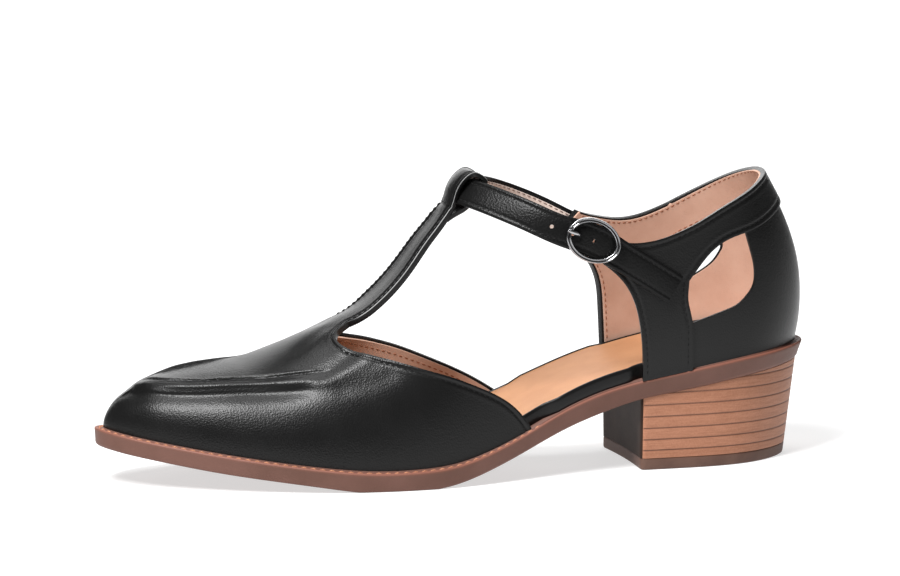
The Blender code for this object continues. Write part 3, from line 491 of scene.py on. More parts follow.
class Finish:
    """A named material on a Principled shader, with Object coordinates as its start."""

    def __init__(self, name, **constants):
        self.material = bpy.data.materials.new(name)
        self.material.use_nodes = True
        self.tree = self.material.node_tree
        self.shader = self.tree.nodes["Principled BSDF"]
        for socket, value in constants.items():
            self.shader.inputs[socket.replace("_", " ")].default_value = value
        coords = self.tree.nodes.new("ShaderNodeTexCoord")
        self.place = Wire(self.tree, coords.outputs["Object"])

    def mark(self, name):
        """A value stored on the mesh."""
        return self.place.node("ShaderNodeAttribute", {"attribute_name": name}, {}, out="Fac")

    def feed(self, socket, wire):
        """Link a wire to one input of the shader."""
        self.tree.links.new(wire.socket, self.shader.inputs[socket])

    def relief(self, height, depth):
        """Bump from a height between zero and one, of a depth in metres."""
        sockets = {"Height": height, "Distance": depth, "Strength": 1.0}
        self.feed("Normal", self.place.node("ShaderNodeBump", {}, sockets))


print("finishes are written as sums")

# %% [markdown]
# ## The finishes
# The upper is black full-grain leather: pebbles about half a millimetre across and a soft sheen that drifts.
# The lining is undyed pigskin, pink-tan with pores, and the sock is a smoother orange tan. The unit sole is a
# matt red-brown rubber, the heel is wrapped in stacked board printed with fibres, and the buckle is a
# darkened silver.

# %% Leather and lining finishes
def black_leather(name, grain_scale=1800.0, depth=0.00007, shine=0.24):
    """Near black, with a pale grey highlight painted where the fold mark is one; pebble grain over a slow
    swell, which drifts the gloss."""
    finish = Finish(name, Specular_IOR_Level=shine)
    swell = finish.place.noise(60.0, 3.0)
    pebble = finish.place.pebbles(grain_scale)
    fine = finish.place.noise(grain_scale * 2.2, 3.0)
    colour = swell.tint((0.004, 0.004, 0.004), (0.007, 0.007, 0.007))
    # The fold mark paints a pale grey highlight on the rounded edges of the T-bar
    finish.feed("Base Color", finish.mark("fold").over(colour, (0.30, 0.30, 0.30)))
    finish.feed("Roughness", 0.22 + 0.12 * swell + 0.06 * fine)
    finish.relief(0.75 * pebble + 0.35 * fine, depth)
    return finish.material


def lining_leather(name, dark, light, rough=0.62):
    """Pink-tan lining: blotches, pores as small dark specks, a fine suede bump."""
    finish = Finish(name, Specular_IOR_Level=0.3)
    blotch = finish.place.noise(90.0, 4.0, 0.6)
    pores = finish.place.pebbles(900.0).step(0.04, 0.16)
    fine = finish.place.noise(3000.0, 3.0)
    colour = blotch.step(0.15, 0.85).tint(dark, light)
    finish.feed("Base Color", ((1.0 - pores) * 0.35).over(colour, tuple(0.6 * v for v in dark)))
    finish.feed("Roughness", rough + 0.14 * fine)
    finish.relief(0.6 * fine + 0.4 * pores, 0.00009)
    return finish.material


UPPER_LEATHER = black_leather("upper_leather")
STRAP_LEATHER = black_leather("strap_leather", 1400.0, 0.0001, 0.14)
BOARD_WRAP = black_leather("board_wrap", 2200.0, 0.00003)
LINING = lining_leather("lining_leather", (0.470, 0.280, 0.205), (0.550, 0.350, 0.265))
STRAP_LINING = lining_leather("strap_lining", (0.50, 0.405, 0.355), (0.64, 0.53, 0.47))
SOCK = lining_leather("sock_leather", (0.388, 0.183, 0.087), (0.453, 0.225, 0.110), 0.5)
print("leathers: upper, strap, board wrap, lining, strap lining, sock")

# %% Sole, heel, metal and thread finishes
def sole_rubber(name, dark, light, lip):
    """Matt rubber: faint clouds, a lighter colour where the lip mark is one, fine bump."""
    finish = Finish(name, Specular_IOR_Level=0.35)
    cloud = finish.place.noise(45.0, 4.0, 0.6)
    fine = finish.place.noise(2600.0, 2.0)
    colour = cloud.step(0.3, 0.7).tint(dark, light)
    # The lip mark lightens the colour: most on the sole's rounded top edge, less on the ledge and along the
    # bottom edge
    finish.feed("Base Color", (finish.mark("lip") * 0.8).over(colour, lip))
    finish.feed("Roughness", 0.46 + 0.2 * fine)
    finish.relief(fine, 0.00004)
    return finish.material


def stacked_board(name):
    """Layers of leather board: a tone for each layer, fibres drawn out level, specks, dark glued joints."""
    finish = Finish(name, Specular_IOR_Level=0.35)
    layer = finish.place.stretch((1.0, 1.0, 250.0)).noise(1.0, 1.0)
    fibre = finish.place.stretch((160.0, 160.0, 2200.0)).noise(1.0, 4.0, 0.65)
    speck = finish.place.noise(1700.0, 2.0, 0.7)
    tone = 0.25 * layer + 0.45 * fibre + 0.3 * speck
    colour = tone.step(0.3, 0.7).tint((0.270, 0.109, 0.056), (0.423, 0.191, 0.113))
    finish.feed("Base Color", finish.mark("joint").over(colour, (0.075, 0.030, 0.020)))
    finish.feed("Roughness", 0.40 + 0.25 * speck)
    finish.relief(0.5 * fibre + 0.5 * speck, 0.00005)
    return finish.material


def plain_brown(name, dark, light, rough, gloss):
    """Brown paint or rubber with faint clouds."""
    finish = Finish(name, Specular_IOR_Level=gloss)
    cloud = finish.place.noise(120.0, 4.0, 0.6)
    fine = finish.place.noise(2400.0, 2.0)
    finish.feed("Base Color", cloud.step(0.3, 0.7).tint(dark, light))
    finish.feed("Roughness", rough + 0.15 * fine)
    finish.relief(fine, 0.00004)
    return finish.material


def thread(name, dark, light):
    """Thread: its plies as a fine noise of colour and bump."""
    finish = Finish(name, Specular_IOR_Level=0.2)
    ply = finish.place.noise(2600.0, 1.0)
    finish.feed("Base Color", ply.step(0.35, 0.65).tint(dark, light))
    finish.feed("Roughness", 0.6 + 0.2 * ply)
    finish.relief(ply, 0.00008)
    return finish.material


def dark_silver(name):
    """Plated metal: grey silver, black in the groove, with faint handling marks in its gloss."""
    finish = Finish(name, Metallic=1.0)
    smear = finish.place.noise(300.0, 4.0, 0.6)
    colour = smear.tint((0.30, 0.30, 0.31), (0.52, 0.52, 0.53))
    finish.feed("Base Color", finish.mark("groove").over(colour, (0.03, 0.03, 0.03)))
    finish.feed("Roughness", 0.12 + 0.14 * smear)
    return finish.material


SOLE_RUBBER = sole_rubber("sole_rubber", (0.103, 0.045, 0.031), (0.133, 0.060, 0.044), (0.225, 0.082, 0.054))
STACK = stacked_board("stacked_board")
BREAST_PAINT = plain_brown("breast_paint", (0.026, 0.014, 0.010), (0.036, 0.020, 0.014), 0.55, 0.12)
LIFT_RUBBER = plain_brown("lift_rubber", (0.091, 0.045, 0.032), (0.118, 0.062, 0.044), 0.5, 0.35)
METAL = dark_silver("buckle_metal")
BLACK_THREAD = thread("black_thread", (0.003, 0.003, 0.003), (0.010, 0.010, 0.010))
TAN_THREAD = thread("tan_thread", (0.20, 0.075, 0.040), (0.36, 0.155, 0.09))
PALE_THREAD = thread("pale_thread", (0.16, 0.11, 0.095), (0.26, 0.19, 0.17))
SOLE_THREAD = thread("sole_thread", (0.30, 0.12, 0.065), (0.50, 0.23, 0.13))
print("finishes:", len(bpy.data.materials))

# %% [markdown]
# ## The sole, the board and the sock
# The unit sole is a stack of rings: each ring is the outline moved in, at its own height. Rounded corners
# take three rings, and the ledge dips where the stitches lie. The sock is a sheet between both edges, a
# little dished.

# %% Outsole
SOLE_STATIONS = 190


def sole_ring(inset, height, shares):
    """Closed ring on the plan: toe tip, outer side, back, inner side, at a height that follows along."""
    along, outer, inner = plan_ring(inset, shares)
    there_and_back = np.concatenate([along, along[-2:0:-1]])
    across = np.concatenate([outer, inner[-2:0:-1]])
    return np.column_stack([there_and_back, across, height(there_and_back)])


def ladder(count, start):
    """Faces across a ring from its outer to its inner side, tip to tip."""
    half = count // 2
    k = np.arange(1, half - 1) + start
    quads = np.stack([k, k + 1, 2 * start + count - k - 1, 2 * start + count - k], axis=1).tolist()
    tips = [[start, start + 1, start + count - 1], [start + half - 1, start + half, start + half + 1]]
    return quads + tips


def slab_block(levels, stations):
    """Rings of rising levels with ladders that close the bottom and the top."""
    shares = gathered(stations)
    rings = np.stack([sole_ring(inset, height, shares) for inset, height in levels])
    rows, count = rings.shape[:2]
    ends = ladder(count, 0) + ladder(count, (rows - 1) * count)
    return rings.reshape(-1, 3), grid_faces(rows, count, wrap_cols=True).tolist() + ends, count


def sole_flare(along):
    """How far the sole's side draws in towards its bottom, most at the heel."""
    return 0.3 + 1.5 * ease(165.0, 245.0, along)


def side(share, more):
    """Inset of a level of the sole's side."""
    return lambda along: sole_flare(along) * share + more


def level(share, more):
    """Height of a level, by its share of the sole's thickness."""
    return lambda along: sole_bottom(along) * (1.0 - share) + sole_top(along) * share + more


def ledge_inset(share):
    """Inset on the ledge, by its share from the rim to the upper."""
    return lambda along: 0.7 + (ledge(along) - 0.9) * share


# Levels of the sole: inset, height, how much of the lighter colour it takes
SOLE_LEVELS = (
    (side(1.0, 1.4), level(0.0, 0.0), 0.0),
    (side(1.0, 0.8), level(0.0, 0.06), 0.0),
    (side(1.0, 0.3), level(0.0, 0.35), 0.1),
    (side(0.95, 0.08), level(0.04, 0.5), 0.2),
    (side(0.85, 0.0), level(0.12, 0.4), 0.0),
    (side(0.6, 0.05), level(0.35, 0.2), 0.0),
    (side(0.3, 0.03), level(0.6, 0.0), 0.0),
    (side(0.1, 0.0), level(0.76, 0.0), 0.0),
    (side(0.0, -0.02), level(0.84, 0.0), 0.25),
    (side(0.0, 0.08), level(0.89, 0.0), 0.8),
    (side(0.0, 0.32), level(0.925, 0.0), 1.0),
    (side(0.0, 0.65), level(0.94, 0.0), 1.0),
    (ledge_inset(0.15), level(0.935, 0.0), 0.9),
    (ledge_inset(0.3), level(0.90, 0.0), 0.5),
    (ledge_inset(0.5), level(0.88, 0.0), 0.2),
    (ledge_inset(0.7), level(0.90, 0.0), 0.4),
    (ledge_inset(0.9), level(0.93, 0.0), 0.4),
    (ledge_inset(1.0), level(0.94, 0.0), 0.2),
    (ledge, level(1.0, 0.0), 0.0),
)
points, faces, count = slab_block([row[:2] for row in SOLE_LEVELS], SOLE_STATIONS)
make_piece("unit_sole", [(points, faces)], SOLE_RUBBER, ["outsole"],
           marks={"lip": np.repeat([row[2] for row in SOLE_LEVELS], count)})

# %% Insole board and sock
def board_inset(along):
    """Inset of the insole board: inside the upper at the front and back, flush with it at the open waist."""
    front = (UPPER_WALL + 0.9) * (1.0 - ease(152.0, 157.0, along))
    back = (QUARTER_WALL + 0.6) * ease(182.0, 186.5, along)
    return ledge(along) + front + back


def board_side(more):
    """Inset of a level of the board's side."""
    return lambda along: board_inset(along) + more


def board_level(more):
    """Height of a level of the board over the sole."""
    return lambda along: sole_top(along) + SEAT_GAP + more


# Levels of the wrapped board, with a bead at its edge: inset, height
BEAD_UP = BOARD_HEIGHT + SOCK_HEIGHT + 0.45
BOARD_LEVELS = (
    (board_side(0.7), board_level(-0.6)),
    (board_side(0.25), board_level(-0.3)),
    (board_side(0.0), board_level(0.5)),
    (board_side(0.0), board_level(1.6)),
    (board_side(0.0), board_level(BOARD_HEIGHT)),
    (board_side(0.1), board_level(BEAD_UP - 0.3)),
    (board_side(0.4), board_level(BEAD_UP)),
    (board_side(0.8), board_level(BEAD_UP)),
    (board_side(1.1), board_level(BEAD_UP - 0.3)),
    (board_side(1.2), board_level(BOARD_HEIGHT)),
)
points, faces, _ = slab_block(BOARD_LEVELS, 150)
make_piece("wrapped_board", [(points, faces)], BOARD_WRAP, ["insole_board"])

SOCK_DISH = 0.7
SOCK_LIFT = SEAT_GAP * 1.2 + BOARD_HEIGHT + SOCK_HEIGHT
along, outer, inner = plan_ring(board_side(SOCK_INSET), gathered(200))
share = np.linspace(0.0, 1.0, 40)[None]
across = outer[:, None] + (inner - outer)[:, None] * share
dish = SOCK_DISH * np.sin(np.pi * share) * ease(0.0, 30.0, inner - outer)[:, None]
up = (sole_top(along) + SOCK_LIFT)[:, None] - dish
sock_grid = np.stack(np.broadcast_arrays(along[:, None], across, up), axis=-1)
make_piece("sock", [sheet_block(sock_grid)], SOCK, ["insole"],
           wall=SOCK_HEIGHT, rolled=0.35, inside=(120.0, 0.0, -200.0))

# %% [markdown]
# ## The heel
# The heel is one outline, drawn in towards the floor, lofted up to the sloping sole. A groove is scored round
# the sides between the board's layers, as a bell of depth at each joint's height. The breast is painted and
# plain.

# %% Heel block and top lift
HEEL_CORNER = 2.2
HEEL_TALL = 33.0
HEEL_HOLLOW = 0.8
HEEL_TAPER_LONG = 0.07
HEEL_TAPER_WIDE = 0.06
JOINTS_UP = (6.9, 10.7, 14.7, 18.8, 22.9, 27.1, 31.2)
JOINT_HALF = 0.22
JOINT_DEPTH = 0.16


def heel_outline():
    """Plan of the heel under the sole: outer side, back and inner side, a rounded corner, the hollow breast
    and the other corner. Also which points belong to the breast."""
    shares = np.sin(np.linspace(0.0, 0.5 * np.pi, 70))
    along, outer, inner = plan_ring(lambda s: sole_flare(s) + 0.5, shares, first=HEEL_BREAST + HEEL_CORNER)
    rim = np.vstack([np.column_stack([along, outer]), np.column_stack([along, inner])[-2::-1]])
    t = np.linspace(0.0, 1.0, 9)[1:-1]
    bend = np.stack([(1.0 - t) ** 2, 2.0 * t * (1.0 - t), t ** 2], axis=1)

    def corner(start, knee, end):
        """Parabola from start to end, drawn towards the knee."""
        return bend @ np.array([start, knee, end])

    far, near = rim[-1], rim[0]
    far_end = (HEEL_BREAST, far[1] - HEEL_CORNER)
    near_end = (HEEL_BREAST, near[1] + HEEL_CORNER)
    width = np.linspace(-1.0, 1.0, 30)
    hollow = HEEL_BREAST + HEEL_HOLLOW * (1.0 - width ** 2)
    breast = np.column_stack([hollow, np.linspace(far_end[1], near_end[1], 30)])
    ring = np.vstack([rim, corner(far, (HEEL_BREAST, far[1]), far_end), breast,
                      corner(near_end, (HEEL_BREAST, near[1]), near)])
    plain = np.zeros(len(ring), dtype=bool)
    plain[len(rim) + 3:len(ring) - 3] = True
    return ring, plain


def heel_grid(up, ring, inset):
    """Heel outline at heights up (one per row and point), shrunk towards the breast's middle with the drop,
    and moved in by an inset along its normal."""
    outward = right_of(unit(np.roll(ring, -1, axis=0) - np.roll(ring, 1, axis=0)))
    drop = np.clip((HEEL_TALL - up) / HEEL_TALL, 0.0, 1.0)
    along = HEEL_BREAST + (ring[:, 0] - HEEL_BREAST) * (1.0 - HEEL_TAPER_LONG * drop) - outward[:, 0] * inset
    across = ring[:, 1] * (1.0 - HEEL_TAPER_WIDE * drop) - outward[:, 1] * inset
    return np.stack([along, across, up], axis=-1)


HEEL_RING, HEEL_PLAIN = heel_outline()
rise = np.linspace(0.0, 1.0, 150)[:, None]
heel_top = (sole_bottom(HEEL_RING[:, 0]) + 0.1)[None]
heel_low = LIFT_HEIGHT + 0.03
heel_up = heel_low + (heel_top - heel_low) * rise
joint = sum(bump(heel_up, height, JOINT_HALF) for height in JOINTS_UP) * ~HEEL_PLAIN
heel_rows = heel_grid(heel_up, HEEL_RING, joint * JOINT_DEPTH)
heel = make_piece("stacked_heel", [tube_block(heel_rows)], [STACK, BREAST_PAINT],
                  ["heel_block"], marks={"joint": np.clip(joint, 0.0, 1.0)})
painted = np.tile(HEEL_PLAIN & np.roll(HEEL_PLAIN, -1), len(heel_rows) - 1).astype(np.int32)
finish_index = np.zeros(len(heel.data.polygons), dtype=np.int32)
finish_index[:len(painted)] = painted
heel.data.polygons.foreach_set("material_index", finish_index)

# Levels of the top lift: height, inset
LIFT_LEVELS = (
    (0.0, 0.9), (0.08, 0.45), (0.3, 0.12), (0.7, 0.0), (2.0, 0.0), (3.4, 0.0), (3.75, 0.05),
    (LIFT_HEIGHT, 0.2),
)
lift_rows = np.stack([heel_grid(np.full(len(HEEL_RING), up), HEEL_RING, inset) for up, inset in LIFT_LEVELS])
make_piece("rubber_lift", [tube_block(lift_rows)], LIFT_RUBBER, ["top_lift"])

# %% [markdown]
# ## The front upper
# Over the toe each cross section is an arch from one side of the sole to the other. The sheet stops at the
# topline, and its middle columns run on as the T-bar, which folds over at the top into the strap's tunnel.
# Relief is added along the surface's normal: a pinched seam round the toe's top, edges puffed by their
# stitches, and soft creases listed one by one. A sculpt could do this, but here each fold has a place and a
# depth that can be read.

# %% Shape of the front upper
ARCH_POWER = 0.96
BAR_SHARE = TOPLINE[0][0]
APRON_FLAT = 0.72
APRON_SUNK = 0.3
FAR_WALL = 1.25
BIG_TOE = 0.6
BAR_CROWN = 0.6
PATH_FINE = 400
# Lengths of the bar's foot over which its depth and its place pass from the sheet's to its own
DEPTH_BLEND, FOOT_BLEND = 10.0, 14.0
# Where the bar starts and ends to wrap the strap, over the strap's width from its middle
WRAP_SPAN = (-13.0, -5.0)
# Places along between which the flat top, its sunk inner edge, the raised seam and its wall come and go
FLAT_COMES, FLAT_GOES = (18.0, 26.0), (50.0, 75.0)
SUNK_GOES = (30.0, 50.0)
TIP_COMES, SEAM_GOES = (19.0, 28.0), (62.0, 80.0)
WALL_COMES, WALL_GOES = (19.0, 33.0), (38.0, 58.0)
TOE_COMES, TOE_GOES = (40.0, 50.0), (60.0, 75.0)
# Depth and half width of the seam across the bar
BAR_SEAM_DEEP, BAR_SEAM_HALF = 0.35, 0.6
# How far the tunnel's edges lie back from its middle: over the strap's width, out of its face
LOOP_SWEEP = (0.7, -1.15)
FOLD_ROUND = 0.32
FAR_EDGE_UP = 0.3
FOLD_DEEP = 2.2
SEAM_RUN = 53.0
CORNER_REACH = 0.34
LEATHER_WALL = 1.15
INSIDE_TOE = (70.0, 0.0, 15.0)


def arch_at(share):
    """Height of the front upper's arch at a share of its girth, one at the middle line."""
    return np.maximum(np.cos(np.clip(np.abs(share), 0.0, 1.0) * 0.5 * np.pi), 0.0) ** ARCH_POWER


def plain_upper(along, share):
    """Point of the front upper: across each section an arch from the outer sole line (share -1), over the
    middle line (0), to the inner sole line (+1), across and up following the sine and cosine of the share.
    The big toe lifts its inner side a little."""
    root = np.sqrt(np.maximum(along - TOE_ALONG, 0.0))
    knots = np.sqrt(column(RIDGE, 0) - RIDGE[0][0])
    crest = spline(knots, column(RIDGE, 1), root)
    middle = spline(knots, column(RIDGE, 2), root)
    base = sole_top(along) + SEAT_GAP
    edge = np.where(share < 0.0, edge_across(OUTER_FEATHER, along), edge_across(INNER_FEATHER, along))
    across = middle + (edge - middle) * np.sin(np.clip(np.abs(share), 0.0, 1.0) * 0.5 * np.pi)
    toe_lift = BIG_TOE * bump(share, 0.24, 0.2) * ease(*TOE_COMES, along) * (1.0 - ease(*TOE_GOES, along))
    return across, base + (crest - base) * arch_at(share) + toe_lift


def seam_shares(along):
    """Share of the girth at the raised seam's crease, on the outer and on the inner side."""
    return [np.interp(along, column(APRON, 0), column(APRON, place)) for place in (1, 2)]


def front_upper(along, share):
    """The plain arch, flattened between the raised seams of the toe towards the line from seam to seam. At
    the inner seam the toe's top lies sunk under the side, less and less away from the tip."""
    along, share = np.broadcast_arrays(np.asarray(along, dtype=float), np.asarray(share, dtype=float))
    across, up = plain_upper(along, share)
    outer, inner = seam_shares(along)
    outer_up = plain_upper(along, -outer)[1]
    inner_up = plain_upper(along, inner)[1] - APRON_SUNK * (1.0 - ease(*SUNK_GOES, along))
    part = np.clip((share + outer) / np.maximum(outer + inner, 1e-6), 0.0, 1.0)
    line = outer_up + (inner_up - outer_up) * part
    within = (share > -outer) * (1.0 - ease(inner - 0.02, inner, share))
    flat = APRON_FLAT * ease(*FLAT_COMES, along) * (1.0 - ease(*FLAT_GOES, along))
    up = up - flat * np.maximum(up - line, 0.0) * within
    return np.stack([along, across, up], axis=-1)


def topline(share):
    """Where the front upper ends at a share of its girth."""
    size = np.clip(np.abs(share), BAR_SHARE, 1.0)
    return np.where(share < 0.0, read(TOPLINE, 1, size), read(TOPLINE, 2, size))


# Section of the strap in the tunnel: its middle along and up, its lift, its directions out of its face and
# over it
TUNNEL_ROW = STRAP[8]
STRAP_MIDDLE = np.array([TUNNEL_ROW[0], TUNNEL_ROW[2]])
STRAP_LIFT = np.radians(TUNNEL_ROW[3])
STRAP_OUT = np.array([-np.cos(STRAP_LIFT), np.sin(STRAP_LIFT)])
STRAP_OVER = np.array([np.sin(STRAP_LIFT), np.cos(STRAP_LIFT)])


def tunnel_path():
    """Side view of the T-bar's outer face from the throat through the tunnel: along, up and half width."""
    bend = [(*(STRAP_MIDDLE + STRAP_OVER * row[0] + STRAP_OUT * row[1]), LOOP_HALF) for row in TUNNEL]
    return np.array(list(STEM) + bend)


def front_grids(shares, steps, bar_rows, bar_inset, trim, depth, bar_depth, bar_stop=1.0):
    """Sheet of the front upper and strip of the T-bar, trimmed back at the topline and moved in by a depth,
    which changes to the bar's own one along its foot. The strip's first row is the sheet's last one. Also
    which columns make the bar, and the bar's half width at each row."""
    end = topline(shares) - trim
    along = TOE_ALONG + (end[None] - TOE_ALONG) * steps[:, None]
    sheet = front_upper(along, np.broadcast_to(shares, along.shape))
    sheet[0] = (TOE_ALONG, OUTER_FEATHER[0, 1], sole_top(TOE_ALONG) + SEAT_GAP)
    facing = normals(sheet)
    facing[0] = (-1.0, 0.0, 0.0)
    sheet = sheet - facing * np.sign(facing[len(steps) // 2, len(shares) // 2, 2]) * depth
    bar = np.abs(shares) <= BAR_SHARE + 1e-6
    path = even_path(along_path(tunnel_path(), PATH_FINE)[:int(PATH_FINE * bar_stop)], bar_rows)
    half = path[:, 2] - bar_inset
    path = path[:, :2]
    out = -right_of(unit(np.gradient(path, axis=0)))
    over = shares[bar] / BAR_SHARE
    wrap = ease(*WRAP_SPAN, (path - STRAP_MIDDLE) @ STRAP_OVER)[:, None]
    inwards = depth + (bar_depth - depth) * ease(0.0, DEPTH_BLEND, lengths(path))[:, None]
    drop = np.where(over < 0.0, BAR_CROWN, -FAR_EDGE_UP) * (1.0 - wrap) * over ** 2 + inwards
    sweep = STRAP_OVER * LOOP_SWEEP[0] + STRAP_OUT * LOOP_SWEEP[1]
    side_view = path[:, None] - out[:, None] * drop[..., None] + (wrap * over ** 2)[..., None] * sweep
    across = read(RIDGE, 2, path[:, 0])[:, None] + over[None] * half[:, None]
    strip = np.stack([side_view[..., 0], across, side_view[..., 1]], axis=-1)
    away = (1.0 - ease(0.0, FOOT_BLEND, lengths(path)))[:, None, None]
    strip = strip + (sheet[-1, bar] - strip[0]) * away
    return sheet, strip, bar, half


TURN = np.radians((30.0, 60.0, 90.0))
FOLD_PAST = FOLD_ROUND * np.concatenate([np.sin(TURN), [1.0, 1.0]])
FOLD_IN = np.concatenate([FOLD_ROUND * (1.0 - np.cos(TURN)), [0.5 * (FOLD_ROUND + FOLD_DEEP), FOLD_DEEP]])


def turned_down(strip, out):
    """A strip with its long edges turned down: a quarter round past each edge, then straight in. The round
    grows over the strip's first few millimetres, and the turn is less deep round the strap."""
    run = lengths(strip[:, strip.shape[1] // 2])
    grow = ease(0.0, 4.0, run)[:, None, None]
    share = (1.0 - 0.32 * ease(SEAM_RUN - 4.0, SEAM_RUN + 2.0, run))[:, None, None]
    sideways = np.array([0.0, 1.0, 0.0])

    def flange(edge, sign):
        """Columns added past one edge."""
        way = sign * grow * FOLD_PAST[:, None] * sideways - FOLD_IN[:, None] * out[:, edge][:, None]
        return strip[:, edge][:, None] + share * way

    return np.concatenate([flange(0, -1.0)[:, ::-1], strip, flange(-1, 1.0)], axis=1)


def corner_fold(edge, out, sign):
    """The bar's turned edge led round the throat's corner: the topline's points moved in step by step, less
    and less away from the bar."""
    size = SHARES * sign
    reach = (size >= BAR_SHARE - 1e-6) & (size <= CORNER_REACH)
    dying = 1.0 - 0.6 * ease(BAR_SHARE, CORNER_REACH, size[reach])
    inward = np.concatenate([[0.0], FOLD_IN])[:, None] * dying
    return edge[reach] - inward[..., None] * out[reach]


# Columns by share of the half girth: first share, last share, how many
COLUMN_RUNS = ((0.0, BAR_SHARE, 17), (BAR_SHARE, 0.29, 34), (0.29, 0.46, 36), (0.46, 1.0, 40))
half = np.concatenate([np.linspace(*run[:2], run[2], endpoint=False) for run in COLUMN_RUNS] + [[1.0]])
SHARES = np.concatenate([-half[:0:-1], half])
ROWS = 132
# Rows lie closer together at the toe's tip and at the topline
even = np.linspace(0.0, 1.0, ROWS)
blend = ease(0.0, 1.0, even)
STEPS = (1.0 - np.cos(0.5 * np.pi * even)) * (1.0 - blend) + blend * np.sin(0.5 * np.pi * even)
sheet, strip, BAR, bar_half = front_grids(SHARES, STEPS, 150, FOLD_ROUND, 0.0, 0.0, 0.0)
print("front upper grid", sheet.shape[:2], "bar grid", strip.shape[:2])

# %% Relief of the front upper
def apron_path():
    """Crease of the pinched seam: along the outer side of the toe's top, round its tip and back inside."""
    rows = along_path(APRON, 160)
    along = np.concatenate([rows[::-1, 0], rows[1:, 0]])
    share = np.concatenate([-rows[::-1, 1], rows[1:, 2]])
    return front_upper(along, share)


# Forms of the raised seam by distance from its crease, outwards positive: height, middle, half width on the
# inside and on the outside of the middle
SEAM_CREASE = (-0.80, 0.0, 0.48, 0.48)
SEAM_LIP = (0.28, -0.8, 0.5, 0.5)
SEAM_ROLL = (0.95, 3.8, 1.8, 1.15)
SEAM_TROUGH = (-0.80, 7.1, 1.05, 3.5)
FAR_CREASE = (-0.3, 0.0, 0.42, 0.42)
# Forms of a folded edge by distance from it: height, middle, half width
EDGE_FORMS = ((0.12, 0.75, 0.45), (-0.22, 1.7, 0.38), (0.05, 2.9, 0.6))


def uneven_bump(at, form):
    """Bell with its own half width on each side of its middle."""
    height, middle, inside, outside = form
    return height * bump(at, middle, np.where(at < middle, inside, outside))


def seam_relief(at, along, inner):
    """Height over the smooth upper by distance from the crease. Outer side: a thin lip, the sharp crease, a
    round roll and the stitched trough under it. Inner side: a steep wall that rounds off outwards. All fade
    out up the instep."""
    near = 1.0 - ease(*SEAM_GOES, along)
    tip = 0.55 + 0.45 * ease(*TIP_COMES, along)
    pinched = uneven_bump(at, SEAM_CREASE) + uneven_bump(at, SEAM_LIP) + uneven_bump(at, SEAM_ROLL)
    wall = FAR_WALL * ease(0.0, 0.7, at) * (1.0 - ease(1.5, 5.5, at))
    wall = wall * ease(*WALL_COMES, along) * (1.0 - ease(*WALL_GOES, along))
    far_side = wall + uneven_bump(at, FAR_CREASE) * tip * near
    return np.where(inner, far_side, (pinched * tip + uneven_bump(at, SEAM_TROUGH)) * near)


def edge_relief(at):
    """Height by distance from a folded edge: puffed between the edge and its stitches, drawn in at the
    stitches."""
    return sum(height * bump(at, middle, half) for height, middle, half in EDGE_FORMS)


# Soft creases, listed one by one: along and share at one end, at the other end, height, half width
CREASES = (
    (74.0, -0.47, 88.0, -0.37, -0.45, 2.6),
    (72.0, -0.54, 90.0, -0.47, 0.40, 2.6),
    (80.0, -0.60, 96.0, -0.60, -0.25, 3.2),
    (76.0, 0.47, 88.0, 0.38, -0.40, 2.6),
    (74.0, 0.55, 92.0, 0.48, 0.35, 2.8),
    (70.0, -0.20, 80.0, -0.08, -0.25, 3.0),
    (71.0, 0.20, 81.0, 0.06, -0.25, 3.0),
)


def front_relief(grid, along, share, edge):
    """Sum of the seam, the folded edge and the creases at every point of a grid."""
    outer, inner = seam_shares(along)
    outside = np.where((share < -outer) | (share > inner) | (along < APRON[0][0]), 1.0, -1.0)
    from_seam = distance(grid, apron_path()) * outside
    relief = seam_relief(from_seam, along, share > 0.0)
    relief += edge_relief(distance(grid, edge))
    for first, first_share, last, last_share, height, width in CREASES:
        t = np.linspace(0.0, 1.0, 40)
        line = front_upper(first + (last - first) * t, first_share + (last_share - first_share) * t)
        relief += height * bump(distance(grid, line), 0.0, width)
    return relief


top_edge = sheet[-1]
front_edge_path = np.vstack([top_edge[SHARES <= -BAR_SHARE], strip[:, 0], top_edge[SHARES >= BAR_SHARE],
                             strip[:, -1]])
sheet_along = sheet[..., 0]
sheet_share = np.broadcast_to(SHARES, sheet_along.shape)
sheet_out = normals(sheet)
sheet_out *= np.sign(sheet_out[ROWS // 2, len(SHARES) // 2, 2])
sheet_out[0] = (-1.0, 0.0, 0.0)
sheet_height = front_relief(sheet, sheet_along, sheet_share, front_edge_path)
strip_out = normals(strip)
strip_out *= np.sign(strip_out[0, strip.shape[1] // 2, 2])
bar_run = lengths(strip[:, strip.shape[1] // 2])
bar_seam = BAR_SEAM_DEEP * bump(bar_run, SEAM_RUN, BAR_SEAM_HALF)[:, None]
strip_height = edge_relief(distance(strip, front_edge_path)) - bar_seam
strip_height[0] = sheet_height[-1, BAR]
strip_out[0] = sheet_out[-1, BAR]
vamp_sheet = sheet + sheet_out * sheet_height[..., None]
vamp_strip = strip + strip_out * strip_height[..., None]
FOOT_SINK = 0.9
SOLE_SINK = np.array([0.0, 0.0, -FOOT_SINK])
corners = [corner_fold(vamp_sheet[-1], sheet_out[-1], sign) for sign in (-1.0, 1.0)]
sunk_sides = [vamp_sheet[:, :1] + SOLE_SINK, vamp_sheet[:, -1:] + SOLE_SINK]
vamp_sheet = np.concatenate([sunk_sides[0], vamp_sheet, sunk_sides[1]], axis=1)
